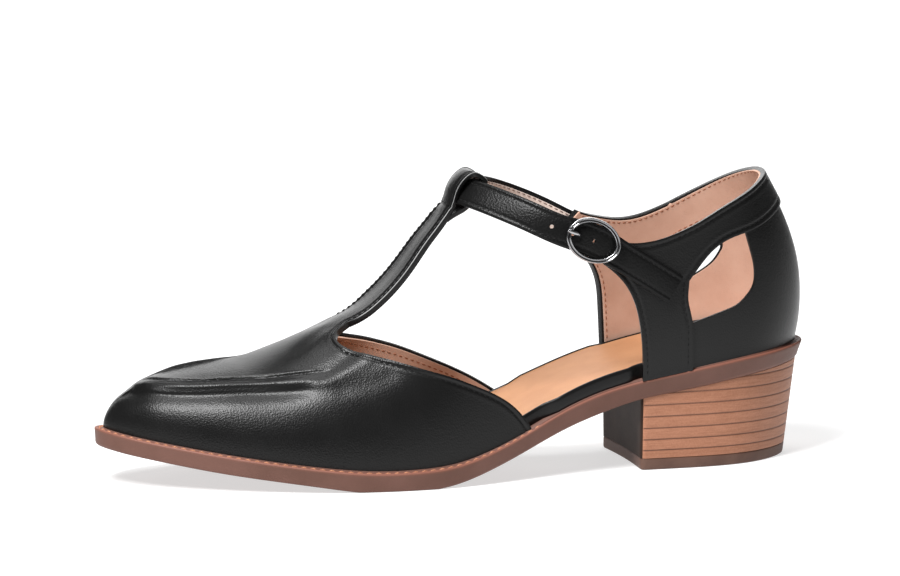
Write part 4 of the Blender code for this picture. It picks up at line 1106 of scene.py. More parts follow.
# Columns of the bar on both sides of its two turned edges, where the fold mark paints a pale highlight
FOLD_COLUMNS = [3, 4, -5, -4]
bar_grid = turned_down(vamp_strip, strip_out)
grids = [vamp_sheet, bar_grid] + corners
# The fold mark is a painted highlight: pale grey on the bar's rounded edges, fading in over its first
# millimetres
fold_highlight_marks = [np.zeros(grid.shape[:2]) for grid in grids]
fold_highlight_marks[1][:, FOLD_COLUMNS] = ease(2.0, 6.0, bar_run)[:, None]
fold_highlight_mark = np.concatenate([mark.ravel() for mark in fold_highlight_marks])
make_piece("vamp_leather", [sheet_block(grid) for grid in grids], UPPER_LEATHER,
           ["vamp"], wall=LEATHER_WALL, rolled=0.45, inside=INSIDE_TOE, marks={"fold": fold_highlight_mark})

# %% Lining of the front upper
LINING_TRIM = 1.0
LINING_WALL = 0.7
LINING_DEPTH = LEATHER_WALL + 0.05
lining_half = np.concatenate([np.linspace(0.0, BAR_SHARE, 8)[:-1], np.linspace(BAR_SHARE, 1.0, 44)])
lining_shares = np.concatenate([-lining_half[:0:-1], lining_half])
lining_steps = np.sin(0.5 * np.pi * np.linspace(0.25, 1.0, 60))
lining_sheet, lining_strip, _, _ = front_grids(lining_shares, lining_steps, 60, -0.2, LINING_TRIM,
                                               LINING_DEPTH, FOLD_DEEP - 0.5, bar_stop=0.54)
make_piece("vamp_lining", [sheet_block(lining_sheet), sheet_block(lining_strip[:, 1:-1])], LINING,
           wall=LINING_WALL, rolled=0.2, inside=INSIDE_TOE)

# %% [markdown]
# ## The back upper
# The back upper is laid out flat, as a pattern cutter does: length round the heel from the back seam one way,
# height the other. The collar strip, the side band and the counter are patches between four edges each. One
# function then stands the pattern up round the heel, so every panel, lining and stitch row shares one
# surface.

# %% Standing the pattern round the heel
def heel_line():
    """Sole line round the heel: length from the back seam, place along and across, outward direction."""
    path = np.vstack([OUTER_FEATHER, INNER_FEATHER[::-1][1:]])
    girth = lengths(path)
    girth = girth - girth[len(OUTER_FEATHER) - 1]
    even = np.linspace(-125.0, 125.0, 1001)
    foot = np.stack([np.interp(even, girth, path[:, k]) for k in range(2)], axis=1)
    return even, foot, right_of(unit(np.gradient(foot, axis=0)))


GIRTH, FOOT, OUTWARD = heel_line()


def back_upper(girth, up, more=0.0):
    """Point of the back upper: the sole line moved out by its lean at that height, and by more."""
    along = np.interp(girth, GIRTH, FOOT[:, 0])
    across = np.interp(girth, GIRTH, FOOT[:, 1])
    out_along = np.interp(girth, GIRTH, OUTWARD[:, 0])
    out_across = np.interp(girth, GIRTH, OUTWARD[:, 1])
    height = up - sole_top(along) - SEAT_GAP
    rear = np.clip(out_along, 0.0, 1.0) ** 0.8
    sides = read(LEAN, 1, height) * (1.0 - rear) + more
    back = read(LEAN, 2, height) * rear
    return np.stack([along + out_along * sides + back, across + out_across * sides, up], axis=-1)


def girth_at(along, up, side):
    """Length round the heel at which the back upper has a place along, at a height, on one side."""
    run = np.linspace(0.0, 122.0, 700) * side
    places = [np.interp(-s, -back_upper(run, np.full(700, u))[:, 0], run) for s, u in zip(along, up)]
    return np.array(places)


def base_line(girth):
    """Height of the foot of the back upper."""
    return sole_top(np.interp(girth, GIRTH, FOOT[:, 0])) + SEAT_GAP


print("collar height at the back:", COLLAR_BACK_UP, "mm")

# %% Edges of the pattern
BAND_SPLIT = 0.62
# Foot of the side band's rear seam: along, up
SEAM_FOOT = (205.4, 36.0)


def front_edge(side, count, start=0.0, stop=1.0, trim=0.0):
    """Front edge as girth and height between two shares of its rise, then up to the tab's top if it isn't
    stopped."""
    rise = along_path(FRONT_EDGE, 200)[int(start * 199):int(stop * 199) + 1]
    edge = rise if stop < 1.0 else np.vstack([rise, np.linspace(rise[-1], TAB_TOP, 60)[1:]])
    edge = np.column_stack([edge[:, 0] + edge[:, 2] * (side > 0.0), edge[:, 1]])
    edge = even_path(edge, count)
    girth = girth_at(edge[:, 0], edge[:, 1], side)
    up = edge[:, 1].copy()
    if start == 0.0:
        up[0] = base_line(girth[:1])[0]
    return np.stack([girth - side * trim, up], axis=1)


def collar_edge(side, count, trim=0.0):
    """Collar edge as girth and height from the tab's top to the back seam."""
    rise = column(COLLAR, 1 if side < 0.0 else 2)
    along = np.concatenate([[TAB_TOP[0] + TAB_TOP[2] * (side > 0.0)], column(COLLAR, 0)[1:]])
    girth = girth_at(along, rise, side)
    girth = np.concatenate([girth, [0.0, -girth[-1]]])
    up = np.concatenate([rise, [COLLAR_BACK_UP, COLLAR[-1][1 if side > 0.0 else 2]]])
    even = np.linspace(girth[0], 0.0, count)
    return np.stack([even, spline(girth * -side, up, even * -side) - trim], axis=1)


def window_corners(side, grow):
    """Corners of a window as girth and height, grown about its middle."""
    first = 0 if side < 0.0 else 2
    corners = np.stack([column(WINDOW, first), column(WINDOW, first + 1)], axis=1)
    middle = corners.mean(axis=0)
    spread = corners - middle
    corners = middle + spread * (1.0 + grow / np.linalg.norm(spread, axis=1).mean())
    return np.stack([girth_at(corners[:, 0], corners[:, 1], side), corners[:, 1]], axis=1)


def rounded(points, radii):
    """Open polyline with each inner corner replaced by a parabola that starts a radius before it."""
    points = np.asarray(points, dtype=float)
    t = np.linspace(0.0, 1.0, 9)[:, None]
    out = [points[:1]]
    for before, knee, after, radius in zip(points[:-2], points[1:-1], points[2:], radii):
        start = knee + (before - knee) * min(0.48, radius / np.linalg.norm(before - knee))
        end = knee + (after - knee) * min(0.48, radius / np.linalg.norm(after - knee))
        out.append((1.0 - t) ** 2 * start + 2.0 * t * (1.0 - t) * knee + t ** 2 * end)
    return np.vstack(out + [points[-1:]])


def coons(left, right, low, high):
    """Patch between four edges: both ruled surfaces added, less the one through the corners."""
    u = np.linspace(0.0, 1.0, len(low))[None, :, None]
    v = np.linspace(0.0, 1.0, len(left))[:, None, None]
    across = (1.0 - u) * left[:, None] + u * right[:, None]
    upward = (1.0 - v) * low[None] + v * high[None]
    corners = (1.0 - u) * ((1.0 - v) * low[0] + v * high[0]) + u * ((1.0 - v) * low[-1] + v * high[-1])
    return across + upward - corners


print("outer window's lower front corner, round the heel:", np.round(window_corners(-1.0, 0.0)[6], 1))

# %% Panels of the pattern
# Points on the edges: front band, over the window, window to back, collar rise, seam, the window's front
# and its rear
BAND_RUN, WINDOW_RUN, BACK_RUN, RISE, SEAM, WINDOW_FRONT, WINDOW_REAR = 34, 40, 60, 30, 34, 30, 70


def strip_low(side, corners, trim=0.0):
    """Lower edge of the collar strip: level across the side band, over the window, and to the back seam."""
    start = front_edge(side, 5, BAND_SPLIT, trim=trim)[0]
    front = np.linspace(start, corners[0], BAND_RUN)
    reach = np.abs(corners[:3, 0])
    knots = np.concatenate([-reach, [0.0], reach[2:]])
    heights = np.concatenate([corners[:3, 1], [BAND_BACK_UP], corners[2:3, 1]])
    over_window = np.linspace(reach[0], reach[2], WINDOW_RUN)[1:]
    girth = np.concatenate([over_window, np.linspace(reach[2], 0.0, BACK_RUN)[1:]])
    return np.vstack([front, np.stack([girth * side, spline(knots, heights, -girth)], axis=1)])


def seam_line(side, corners, shift=0.0):
    """Rear seam of the side band from the sole up to the window's lower front corner."""
    foot = girth_at([SEAM_FOOT[0]], [SEAM_FOOT[1]], side)[0]
    line = np.linspace((foot, base_line(np.array([foot]))[0]), corners[6], SEAM)
    return line + np.array([side * shift, 0.0])


def window_front(corners):
    """Front edge of a window from its lower to its upper corner."""
    return even_path(rounded(corners[[6, 7, 0]], [WINDOW[7][4]]), WINDOW_FRONT)


def panels(side, grow=0.0, trim=0.0, tuck=0.0):
    """Collar strip, side band and counter of one side as grids of girth and height. The counter's hidden
    edges are tucked under the others."""
    corners = window_corners(side, grow)
    low = strip_low(side, corners, trim)
    front_top = front_edge(side, RISE, BAND_SPLIT, trim=trim)
    collar = collar_edge(side, len(low), trim)
    front_top[-1] = collar[0] = 0.5 * (front_top[-1] + collar[0])
    low[0] = front_top[0]
    strip = coons(front_top, np.linspace(low[-1], collar[-1], RISE), low, collar)
    seam = seam_line(side, corners)
    rear = np.vstack([seam, window_front(corners)[1:]])
    front = front_edge(side, len(rear), 0.0, BAND_SPLIT, trim)
    front[-1] = low[0]
    girth = np.linspace(front[0, 0], rear[0, 0], BAND_RUN)
    foot = np.stack([girth, base_line(girth)], axis=1)
    band = coons(front, rear, foot, low[:BAND_RUN])
    hidden = seam_line(side, corners, tuck)
    path = [corners[k] for k in (6, 5, 4, 3, 2)]
    radii = [WINDOW[k][4] for k in (5, 4, 3)]
    if tuck:
        path = [hidden[-1]] + path + [corners[2] + np.array([0.0, tuck])]
        radii = [0.2] + radii + [0.2]
    left = np.vstack([hidden, even_path(rounded(path, radii), WINDOW_REAR)[1:]])
    high = low[-BACK_RUN:] + np.array([0.0, tuck])
    back_foot = base_line(np.zeros(1))[0]
    run = lengths(left)
    nearest = [np.argmin(np.linalg.norm(left[SEAM:] - corners[k], axis=1)) for k in (6, 5, 4)]
    stops = [0.0, run[SEAM - 1]] + [run[SEAM + step] for step in nearest]
    if not tuck:
        stops[2] = stops[1] + 0.5
    window_ups = [corners[6, 1] - 1.6, corners[6, 1] - 0.8, corners[5, 1] - 0.8, corners[4, 1] + 1.0]
    rises = [back_foot] + window_ups + [high[-1, 1]]
    back = np.stack([np.zeros(len(left)), np.interp(run, stops + [run[-1]], rises)], axis=1)
    girth = np.linspace(left[0, 0], 0.0, BACK_RUN)
    counter = coons(left, back, np.stack([girth, base_line(girth)], axis=1), high)
    return strip, band, counter


def stand(pattern, more, relief=None):
    """Pattern stood round the heel at an offset, with its foot sunk a little into the sole."""
    foot = base_line(pattern[..., 0])
    sink = FOOT_SINK * (1.0 - ease(0.0, 1.5, pattern[..., 1] - foot))
    grid = back_upper(pattern[..., 0], pattern[..., 1], more if relief is None else more + relief)
    grid[..., 2] -= sink
    return grid


BAND_PROUD = 1.2
BAND_WALL = 2.1
COUNTER_WALL = 1.0
LINING_TUCK = 0.95
INSIDE_HEEL = (215.0, 0.0, 60.0)
band_blocks, counter_blocks, lining_blocks = [], [], []
for side_sign in (-1.0, 1.0):
    strip_flat, band_flat, _ = panels(side_sign)
    rim = np.vstack([collar_edge(side_sign, 300), front_edge(side_sign, 300)])
    lower = np.vstack([band_flat[:, -1], strip_flat[0, BAND_RUN - 1:]])
    for flat in (strip_flat, band_flat):
        relief = edge_relief(distance(flat, rim)) + edge_relief(distance(flat, lower))
        band_blocks.append(sheet_block(stand(flat, BAND_PROUD, relief), flip=side_sign > 0.0))
    counter_flat = panels(side_sign, tuck=0.6)[2]
    counter_blocks.append(sheet_block(stand(counter_flat, 0.0), flip=side_sign > 0.0))
    for flat in panels(side_sign, grow=0.8, trim=1.0):
        lining_blocks.append(sheet_block(stand(flat, -LINING_TUCK), flip=side_sign > 0.0))
make_piece("collar_leather", band_blocks, UPPER_LEATHER, ["collar_band"],
           wall=BAND_WALL, rolled=0.5, inside=INSIDE_HEEL)
make_piece("counter_leather", counter_blocks, UPPER_LEATHER, ["quarter"],
           wall=COUNTER_WALL, rolled=0.35, inside=INSIDE_HEEL)
make_piece("quarter_lining", lining_blocks, LINING,
           wall=LINING_WALL, rolled=0.2, inside=INSIDE_HEEL)

# %% [markdown]
# ## The ankle strap
# The strap is a flat profile carried along its route. Its edges are turned over and stitched, so the profile
# has round edges and a groove a little inside them. A thin lining is glued behind it. The holes are punched
# right through both with one set of round cutters.

# %% Route and profile of the strap
STRAP_STEPS = 380
STRAP_FACE = 0.5 * STRAP_WALL


def strap_frame(count):
    """Middle line of the ankle strap with its running, width and outward directions."""
    route = along_path([row[:3] for row in STRAP], count)
    run = unit(np.gradient(route, axis=0))
    chord = lengths(np.array([row[:3] for row in STRAP]))
    tilt = np.radians(np.interp(np.linspace(0.0, 1.0, count), chord / chord[-1], column(STRAP, 3)))
    flat = unit(np.column_stack([right_of(run), np.zeros(count)]))
    out = -flat * np.cos(tilt)[:, None] + np.array([0.0, 0.0, 1.0]) * np.sin(tilt)[:, None]
    over = unit(np.cross(run, out))
    over = over * np.sign(over[:, 2:3])
    out = np.cross(over, run)
    out = out * np.sign(np.sum(out * -flat, axis=1))[:, None]
    return route, run, over, out


def carry(route, first, second, section):
    """A section, given as places along two directions, carried along a route."""
    return route[:, None] + section[None, :, :1] * first[:, None] + section[None, :, 1:] * second[:, None]


def strip_section(half, low, high, count):
    """Closed profile of a flat strip: a superellipse-like box with round edges, grooved inside its upper
    edges."""
    turn = turns(count)
    wide = squarish(np.cos(turn), 0.35) * half
    thick = squarish(np.sin(turn), 0.5)
    rise = 0.5 * (low + high) + 0.5 * (high - low) * thick
    groove = (edge_relief(half - np.abs(wide)) * 0.8 + 0.12 * (1.0 - (wide / half) ** 2)) * (thick > 0.0)
    return np.column_stack([wide, rise + groove])


ROUTE, RUN, OVER, OUT = strap_frame(STRAP_STEPS)
# Step of the route at the buckle, on the outer side, and the buckle's place and directions there: heelwards,
# over the strap's width, outwards
BUCKLE_STEP = np.argmin(np.where(ROUTE[:, 1] > 0.0, np.inf, np.abs(ROUTE[:, 0] - BUCKLE_ALONG)))
BUCKLE_CENTRE, BUCKLE_BACK = ROUTE[BUCKLE_STEP], -RUN[BUCKLE_STEP]
BUCKLE_OVER, BUCKLE_OUT = OVER[BUCKLE_STEP], OUT[BUCKLE_STEP]
HOLE_RADIUS = 0.7
HOLE_PITCH = 7.5
HOLE_COUNT = 3
HOLE_FIRST = -0.4


def hole_cutter():
    """Round cutters through the strap at even steps, joined as one mesh."""
    run = lengths(ROUTE) - lengths(ROUTE)[BUCKLE_STEP]
    blocks = []
    turn = turns(20)
    ring = np.column_stack([np.cos(turn), np.sin(turn)]) * HOLE_RADIUS
    for step in range(HOLE_COUNT):
        spot = np.argmin(np.abs(run - step * HOLE_PITCH - HOLE_FIRST))
        ends = ROUTE[spot] + np.array([[-3.0], [3.0]]) * OUT[spot]
        blocks.append(tube_block(carry(ends, np.array([RUN[spot]] * 2), np.array([OVER[spot]] * 2), ring)))
    return blocks


print("strap length", round(lengths(ROUTE)[-1], 1), "mm")

# %% Strap pieces with punched holes
def punch(made):
    """Cut the holes through a strap piece and keep only the cut mesh."""
    cutter = make_piece("hole_cutter", hole_cutter(), UPPER_LEATHER)
    cut = made.modifiers.new("holes", "BOOLEAN")
    cut.operation = "DIFFERENCE"
    cut.solver = "EXACT"
    cut.object = cutter
    depsgraph = bpy.context.evaluated_depsgraph_get()
    punched = bpy.data.meshes.new_from_object(made.evaluated_get(depsgraph))
    made.modifiers.clear()
    made.data = punched
    bpy.data.objects.remove(cutter)
    punched.shade_smooth()
    punched.set_sharp_from_angle(angle=np.radians(40.0))


BUCKLE_SWELL = 0.12
strap_top = strip_section(STRAP_HALF, -0.35, STRAP_FACE, 56)
from_buckle = np.linalg.norm(ROUTE - BUCKLE_CENTRE, axis=1)
swollen = OVER * (1.0 + BUCKLE_SWELL * bump(from_buckle, 0.0, 9.0))[:, None]
strap_grid = carry(ROUTE, swollen, OUT, strap_top)
punch(make_piece("ankle_strap_leather", [tube_block(strap_grid)], STRAP_LEATHER,
                 ["ankle_strap"]))
STRAP_LINING_HALF = 4.6
STRAP_LINING_DROP = 0.7
strap_back = strip_section(STRAP_LINING_HALF, -STRAP_FACE, -0.4, 32)
lining_route = ROUTE - OVER * (STRAP_LINING_DROP * ease(-4.0, 8.0, ROUTE[:, 1]))[:, None]
lining_grid = carry(lining_route, OVER, OUT, strap_back)
punch(make_piece("ankle_strap_lining", [tube_block(lining_grid)], STRAP_LINING))

# %% [markdown]
# ## The buckle
# The ring is an oval with a channel run round its face, so two bright ridges show with a dark line between.
# Its section is carried round the oval. The pin comes up through the strap and its tip lies on the front of
# the ring.

# %% Ring and pin
CHANNEL_DEEP = 0.55
RING_SOFT = 0.55
# Low and high edge of the ring over the strap's face, how far the long sides reach down past the strap's
# edges, how much lower their top and the front's top are
RING_LOW, RING_HIGH = 0.45, 2.2
SIDES_DOWN, SIDES_LOWER, FRONT_LOWER = 4.0, 0.4, 0.35
RING_STEPS, RING_ROUND = 150, 48


def ring_grid(steps, count):
    """Oval ring: at each turn the section's height comes from the ring's low and high edge there, and the
    channel lowers the middle of its face by a bell. Also how far into the channel each point is."""
    turn = turns(steps)[:, None]
    long, wide = np.cos(turn), np.sin(turn)
    low = STRAP_FACE + RING_LOW - SIDES_DOWN * np.abs(wide) ** 6
    high = STRAP_FACE + RING_HIGH - SIDES_LOWER * wide ** 2 - FRONT_LOWER * np.clip(-long, 0.0, 1.0) ** 12
    section = turns(count)[None]
    inward = 0.5 * RING_BAND * (squarish(np.cos(section), RING_SOFT) - 1.0)
    rise = squarish(np.sin(section), RING_SOFT)
    channel = CHANNEL_DEEP * bump(inward, -0.5 * RING_BAND, 0.3) * (rise > 0.2)
    height = 0.5 * (low + high) + 0.5 * (high - low) * rise - channel
    back = long * (RING_LONG + inward)
    across = wide * (RING_WIDE + inward)
    points = (BUCKLE_CENTRE + back[..., None] * BUCKLE_BACK + across[..., None] * BUCKLE_OVER
              + height[..., None] * BUCKLE_OUT)
    return points, np.broadcast_to(channel / CHANNEL_DEEP, height.shape)


ring_points, ring_groove = ring_grid(RING_STEPS, RING_ROUND)
ring_faces = grid_faces(RING_STEPS, RING_ROUND, True, True).tolist()
make_piece("buckle_ring", [(ring_points.reshape(-1, 3), ring_faces)], METAL,
           ["buckle_frame"], marks={"groove": ring_groove})


# Side view of the pin, from the strap's hole forward over the ring: heelwards from the ring's middle, out
PIN_BEND = (
    (-3.7, -1.6), (-4.4, -0.2), (-5.4, STRAP_FACE + 0.75), (-6.9, STRAP_FACE + 1.9),
    (-8.4, STRAP_FACE + 2.45), (-RING_LONG - 0.15, STRAP_FACE + 2.3),
)
PIN_STEPS = 60
pin = along_path(PIN_BEND, PIN_STEPS)
slope = unit(np.gradient(pin, axis=0))
turn = turns(16)
taper = (1.0 - 0.35 * ease(0.85, 1.0, np.linspace(0.0, 1.0, PIN_STEPS)))[:, None]
PIN_RADIUS = 0.55
PIN_WIDER = 1.25
side_way = slope[:, :1] * BUCKLE_OUT - slope[:, 1:] * BUCKLE_BACK
spots = BUCKLE_CENTRE + pin[:, :1] * BUCKLE_BACK + pin[:, 1:] * BUCKLE_OUT
pin_grid = (spots[:, None] + (np.cos(turn)[None] * taper * PIN_RADIUS)[..., None] * side_way[:, None]
            + (np.sin(turn)[None] * taper * PIN_RADIUS * PIN_WIDER)[..., None] * BUCKLE_OVER)
make_piece("buckle_pin", [tube_block(pin_grid)], METAL, ["buckle_prong"])
for node, finish in (("buckle_bar", METAL), ("buckle_tab", STRAP_LEATHER)):
    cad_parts[node].data.materials.clear()
    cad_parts[node].data.materials.append(finish)

# %% [markdown]
# ## Stitches
# Thread lies in short humps with its ends drawn into the leather. Each stitch is a small closed grid, and a
# whole row is worked out at once: even steps along a line, a direction along it and one out of the surface,
# which comes from a second line beside the first. A texture could only paint them; real humps catch the
# light.

# %% Stitch rows
FINE_PITCH, FINE_LONG, FINE_THICK = 2.1, 1.55, 0.42
# Places along a stitch from end to end, its thickness there, and its rise, bend and width in thicknesses
HUMP_STEPS = np.array([-1.0, -0.75, 0.0, 0.75, 1.0])
HUMP_SIZES = np.array([0.12, 0.75, 1.0, 0.75, 0.12])
HUMP_RISE, HUMP_BEND, HUMP_WIDE = 0.12, 0.45, 1.15
HUMP_CAPS = np.array([[5, 4, 3, 2], [5, 2, 1, 0], [24, 25, 26, 27], [24, 27, 28, 29]])


def stitch_block(line, beside, outward, pitch=FINE_PITCH, long=FINE_LONG, thick=FINE_THICK):
    """Stitches along a line. The surface's normal is the cross product of the line's direction and the way to
    the line beside it, turned to the side of an outward guide."""
    count = max(int(lengths(line)[-1] / pitch), 1)
    steps = even_path(line, 2 * count + 1)
    spots = steps[1::2]
    near = even_path(beside, 2 * count + 1)[1::2]
    way = unit(steps[2::2] - steps[:-1:2])
    out = unit(np.cross(way, near - spots))
    out = out * np.sign(np.sum(out * outward(spots), axis=1))[:, None]
    across = np.cross(out, way)
    size = HUMP_SIZES * 0.5 * thick
    turn = turns(6)
    lift = HUMP_RISE * thick + size[:, None] * np.cos(turn) - HUMP_BEND * thick * HUMP_STEPS[:, None] ** 2
    wide = size[:, None] * np.sin(turn) * HUMP_WIDE
    run = np.broadcast_to((0.5 * long * HUMP_STEPS)[:, None], lift.shape)
    grid = (spots[:, None, None] + run[..., None] * way[:, None, None] + lift[..., None] * out[:, None, None]
            + wide[..., None] * across[:, None, None])
    faces = np.vstack([grid_faces(5, 6, wrap_cols=True), HUMP_CAPS])
    every = faces[None] + (np.arange(count) * lift.size)[:, None, None]
    return grid.reshape(-1, 3), every.reshape(-1, 4).tolist()


def away_from(point):
    """Guide that points away from a place."""
    return lambda spots: spots - np.array(point)


def towards(point):
    """Guide that points to a place."""
    return lambda spots: np.array(point) - spots


def facing(way):
    """Guide that points one way everywhere."""
    return lambda spots: np.broadcast_to(way, spots.shape)


# How far the rows lie from the edges: back upper and strap, T-bar, front upper, its lining. A row's second
# line lies a little further in
EDGE_ROW, BAR_ROW, VAMP_ROW, VAMP_LINING_ROW = 1.7, 0.7, 2.0, 3.2
VAMP_BESIDE = 1.2
upper_rows, lining_rows = [], []


def vamp_row(sign, trim, more):
    """Line on the front upper beside its topline, from the sole line up to the throat, moved out by more."""
    share = np.linspace(0.985, 0.17, 300) * sign
    line = front_upper(topline(share) - trim, share)
    out = unit(np.cross(np.gradient(line, axis=0), front_upper(topline(share) - trim - 1.0, share) - line))
    out = out * np.sign(np.sum(out * (line - np.array(INSIDE_TOE)), axis=1))[:, None]
    return line + out * more


lining_face = -LINING_DEPTH - LINING_WALL
for sign in (-1.0, 1.0):
    for rows, trim, more, guide in ((upper_rows, VAMP_ROW, -0.2, away_from(INSIDE_TOE)),
                                    (lining_rows, VAMP_LINING_ROW, lining_face, towards(INSIDE_TOE))):
        rows.append(stitch_block(vamp_row(sign, trim, more), vamp_row(sign, trim + VAMP_BESIDE, more), guide))


def bar_row(sign, inset):
    """Line along the T-bar's face at an inset from one edge, up to the seam under the tunnel."""
    place = 0.5 * (vamp_strip.shape[1] - 1) * (1.0 + sign * (1.0 - inset / bar_half))
    low = np.floor(place).astype(int)
    part = (place - low)[:, None]
    rows = np.arange(len(vamp_strip))
    line = vamp_strip[rows, low] * (1.0 - part) + vamp_strip[rows, low + 1] * part
    return line[:np.searchsorted(bar_run, SEAM_RUN)]


bar_face = facing((-0.7, 0.0, 0.7))
for sign, thick in ((-1.0, FINE_THICK), (1.0, 1.5 * FINE_THICK)):
    line, beside = [bar_row(sign, inset) for inset in (BAR_ROW, BAR_ROW + 1.0)]
    upper_rows.append(stitch_block(line, beside, bar_face, thick=thick))
seam_at = int(np.searchsorted(bar_run, SEAM_RUN))
upper_rows.append(stitch_block(vamp_strip[seam_at, 3:-3], vamp_strip[seam_at + 2, 3:-3], bar_face))


def pattern_rows(flat, beside):
    """The same line of the pattern, stood round the heel, as black stitches outside and tan ones on the
    lining."""
    for rows, more, guide in ((upper_rows, BAND_PROUD - 0.18, away_from(INSIDE_HEEL)),
                              (lining_rows, -LINING_TUCK - LINING_WALL, towards(INSIDE_HEEL))):
        rows.append(stitch_block(back_upper(*flat.T, more), back_upper(*beside.T, more), guide))


for sign in (-1.0, 1.0):
    corners = window_corners(sign, 0.0)
    down = np.array([0.0, -1.0])
    heelwards = np.array([-sign, 0.0])
    collar = collar_edge(sign, 300)[4:]
    pattern_rows(collar + down * EDGE_ROW, collar + down * (EDGE_ROW + 1.0))
    front = front_edge(sign, 300, 0.03, 0.97)
    pattern_rows(front + heelwards * EDGE_ROW, front + heelwards * (EDGE_ROW + 1.0))
    seam = seam_line(sign, corners)[2:]
    rear = np.vstack([seam, window_front(corners)[1:]]) - heelwards * EDGE_ROW
    pattern_rows(rear, rear - heelwards)
    over_window = strip_low(sign, corners)[BAND_RUN:] - down * EDGE_ROW
    pattern_rows(over_window, over_window - down)
make_piece("upper_stitches", upper_rows, BLACK_THREAD)
make_piece("lining_stitches", lining_rows, TAN_THREAD)

# %% Strap and sole stitches
strap_rows, strap_lining_rows = [], []
STRAP_HEART = (165.0, 0.0, 70.0)
for sign in (-1.0, 1.0):
    for rows, rise, guide in ((strap_rows, STRAP_FACE - 0.12, away_from(STRAP_HEART)),
                              (strap_lining_rows, -STRAP_FACE, towards(STRAP_HEART))):
        line, beside = [ROUTE + OVER * sign * (STRAP_HALF - inset) + OUT * rise
                        for inset in (EDGE_ROW, EDGE_ROW + 1.0)]
        rows.append(stitch_block(line[4:-4], beside[4:-4], guide))
make_piece("strap_stitches", strap_rows, BLACK_THREAD)
make_piece("strap_lining_stitches", strap_lining_rows, PALE_THREAD)

WELT_STOP = 150.0
WELT_PITCH, WELT_LONG, WELT_THICK = 3.2, 2.5, 0.8
outer_line, inner_line = [edge[edge[:, 0] < WELT_STOP] for edge in plan_edges(ledge_inset(0.5))]
loop = np.vstack([outer_line[::-1], inner_line[1:]])
loop_up = level(0.90, 0.05)(loop[:, 0])
welt_line = np.column_stack([loop, loop_up])
welt_beside = np.column_stack([loop + right_of(unit(np.gradient(loop, axis=0))) * 0.5, loop_up])
welt_row = stitch_block(welt_line, welt_beside, facing((0.0, 0.0, 1.0)), WELT_PITCH, WELT_LONG, WELT_THICK)
make_piece("sole_stitches", [welt_row], SOLE_THREAD)

# %% [markdown]
# ## Stage, light and camera
# The shoe stands on a plain pale table that glows in an oval pool, as a lit product table does, so the floor
# round the shoe is white and its shadow faint. A tall soft light on the left rolls one broad highlight along
# the side of the toe, and weaker ones from above and behind lift the edges. The camera is far away with a
# long lens, so the view is nearly without perspective, as in a product picture.

# %% Floor and lights
FLOOR_HALF = 12.0
# Middle of the lit pool from the shoe, and its two half widths, in metres, in the floor's turned axes
POOL_MIDDLE, POOL_WIDE, POOL_LONG, POOL_TURN = 0.6, 0.30, 1.05, np.radians(-16.0)
POOL_FADE = (0.78, 1.35)
POOL_DIM = (0.25, 0.25, 0.25)
TABLE_GLOW = 0.62
WORLD_GLOW = 0.085


def lit_table(name):
    """Pale table lit from below: an oval pool of light round the shoe and behind it, weaker outside."""
    finish = Finish(name, Base_Color=(0.5, 0.5, 0.5, 1.0), Roughness=0.9, Specular_IOR_Level=0.0,
                    Emission_Strength=TABLE_GLOW)
    turned = finish.place.node("ShaderNodeVectorRotate", {"rotation_type": "Z_AXIS"},
                               {"Vector": finish.place, "Angle": -POOL_TURN})
    pooled = turned.stretch((1.0 / POOL_WIDE, 1.0 / POOL_LONG, 1.0))
    far = pooled.node("ShaderNodeVectorMath", {"operation": "DISTANCE"},
                      {0: pooled, 1: (0.0, POOL_MIDDLE / POOL_LONG, 0.0)}, out="Value")
    finish.feed("Emission Color", far.step(*POOL_FADE).tint((1.0, 1.0, 1.0), POOL_DIM))
    return finish.material


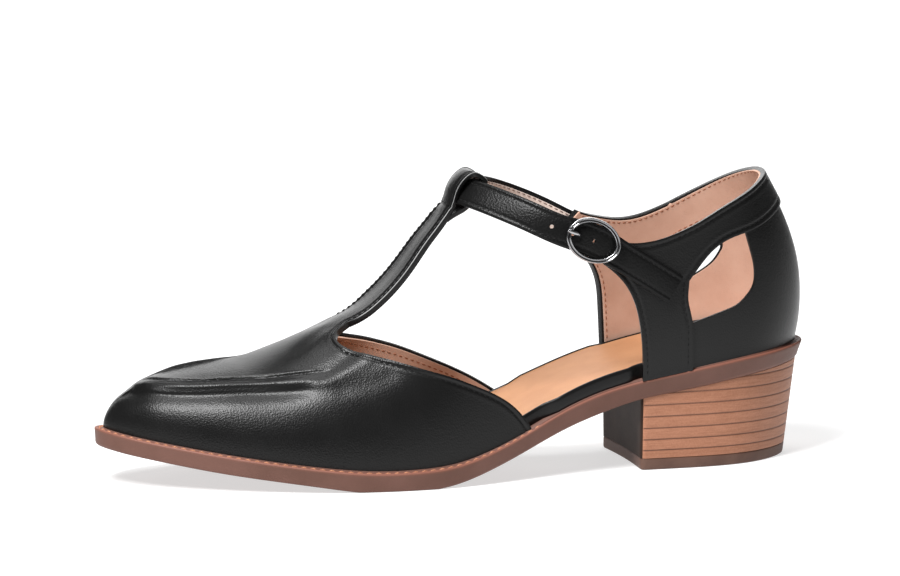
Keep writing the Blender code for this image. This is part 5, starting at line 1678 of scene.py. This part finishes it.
floor_mesh = bpy.data.meshes.new("floor")
floor_corners = [(x * FLOOR_HALF, y * FLOOR_HALF, 0.0) for x, y in ((-1, -1), (1, -1), (1, 1), (-1, 1))]
floor_mesh.from_pydata(floor_corners, [], [(0, 1, 2, 3)])
floor = bpy.data.objects.new("floor", floor_mesh)
bpy.context.scene.collection.objects.link(floor)
floor_mesh.materials.append(lit_table("floor_white"))
world = bpy.data.worlds.new("studio")
bpy.context.scene.world = world
world.use_nodes = True
world.node_tree.nodes["Background"].inputs["Color"].default_value = (1.0, 1.0, 1.0, 1.0)
world.node_tree.nodes["Background"].inputs["Strength"].default_value = WORLD_GLOW


def soft_light(name, place, aim, wide, high, watts):
    """Rectangular soft light at a place, turned to a point."""
    data = bpy.data.lights.new(name, "AREA")
    data.shape = "RECTANGLE"
    data.size = wide
    data.size_y = high
    data.energy = watts
    lamp = bpy.data.objects.new(name, data)
    bpy.context.scene.collection.objects.link(lamp)
    lamp.location = place
    lamp.rotation_euler = (Vector(aim) - Vector(place)).to_track_quat("-Z", "Y").to_euler()


soft_light("key_left", (-0.76, -0.72, 1.55), (-0.02, 0.0, 0.04), 0.46, 1.0, 62.0)
soft_light("overhead", (0.05, 0.45, 1.9), (0.0, 0.0, 0.0), 1.5, 0.9, 17.0)
soft_light("backdrop", (0.35, 2.0, 0.62), (0.0, 0.0, 0.2), 2.1, 1.1, 15.0)
print("lit table and", len(bpy.data.lights), "soft lights")

# %% Camera
AZIMUTH = np.radians(-16.0)
ELEVATION = np.radians(9.6)
AWAY = 4.0
PIXELS_PER_MM = 2.9
FRAME_WIDTH = 900
SENSOR = 36.0
TARGET = np.array([-0.0011, 0.0, 0.0629])
level_out = np.cos(ELEVATION)
look = np.array([np.sin(AZIMUTH) * level_out, -np.cos(AZIMUTH) * level_out, np.sin(ELEVATION)])
camera_data = bpy.data.cameras.new("camera")
camera_data.sensor_width = SENSOR
camera_data.lens = PIXELS_PER_MM * 1000.0 * AWAY / FRAME_WIDTH * SENSOR
camera_data.clip_end = 100.0
camera = bpy.data.objects.new("camera", camera_data)
camera.location = TARGET + look * AWAY
camera.rotation_euler = Vector(-look).to_track_quat("-Z", "Y").to_euler()
bpy.context.scene.collection.objects.link(camera)
bpy.context.scene.camera = camera
bpy.context.scene.view_settings.view_transform = "Standard"
print("lens", round(camera_data.lens), "mm")
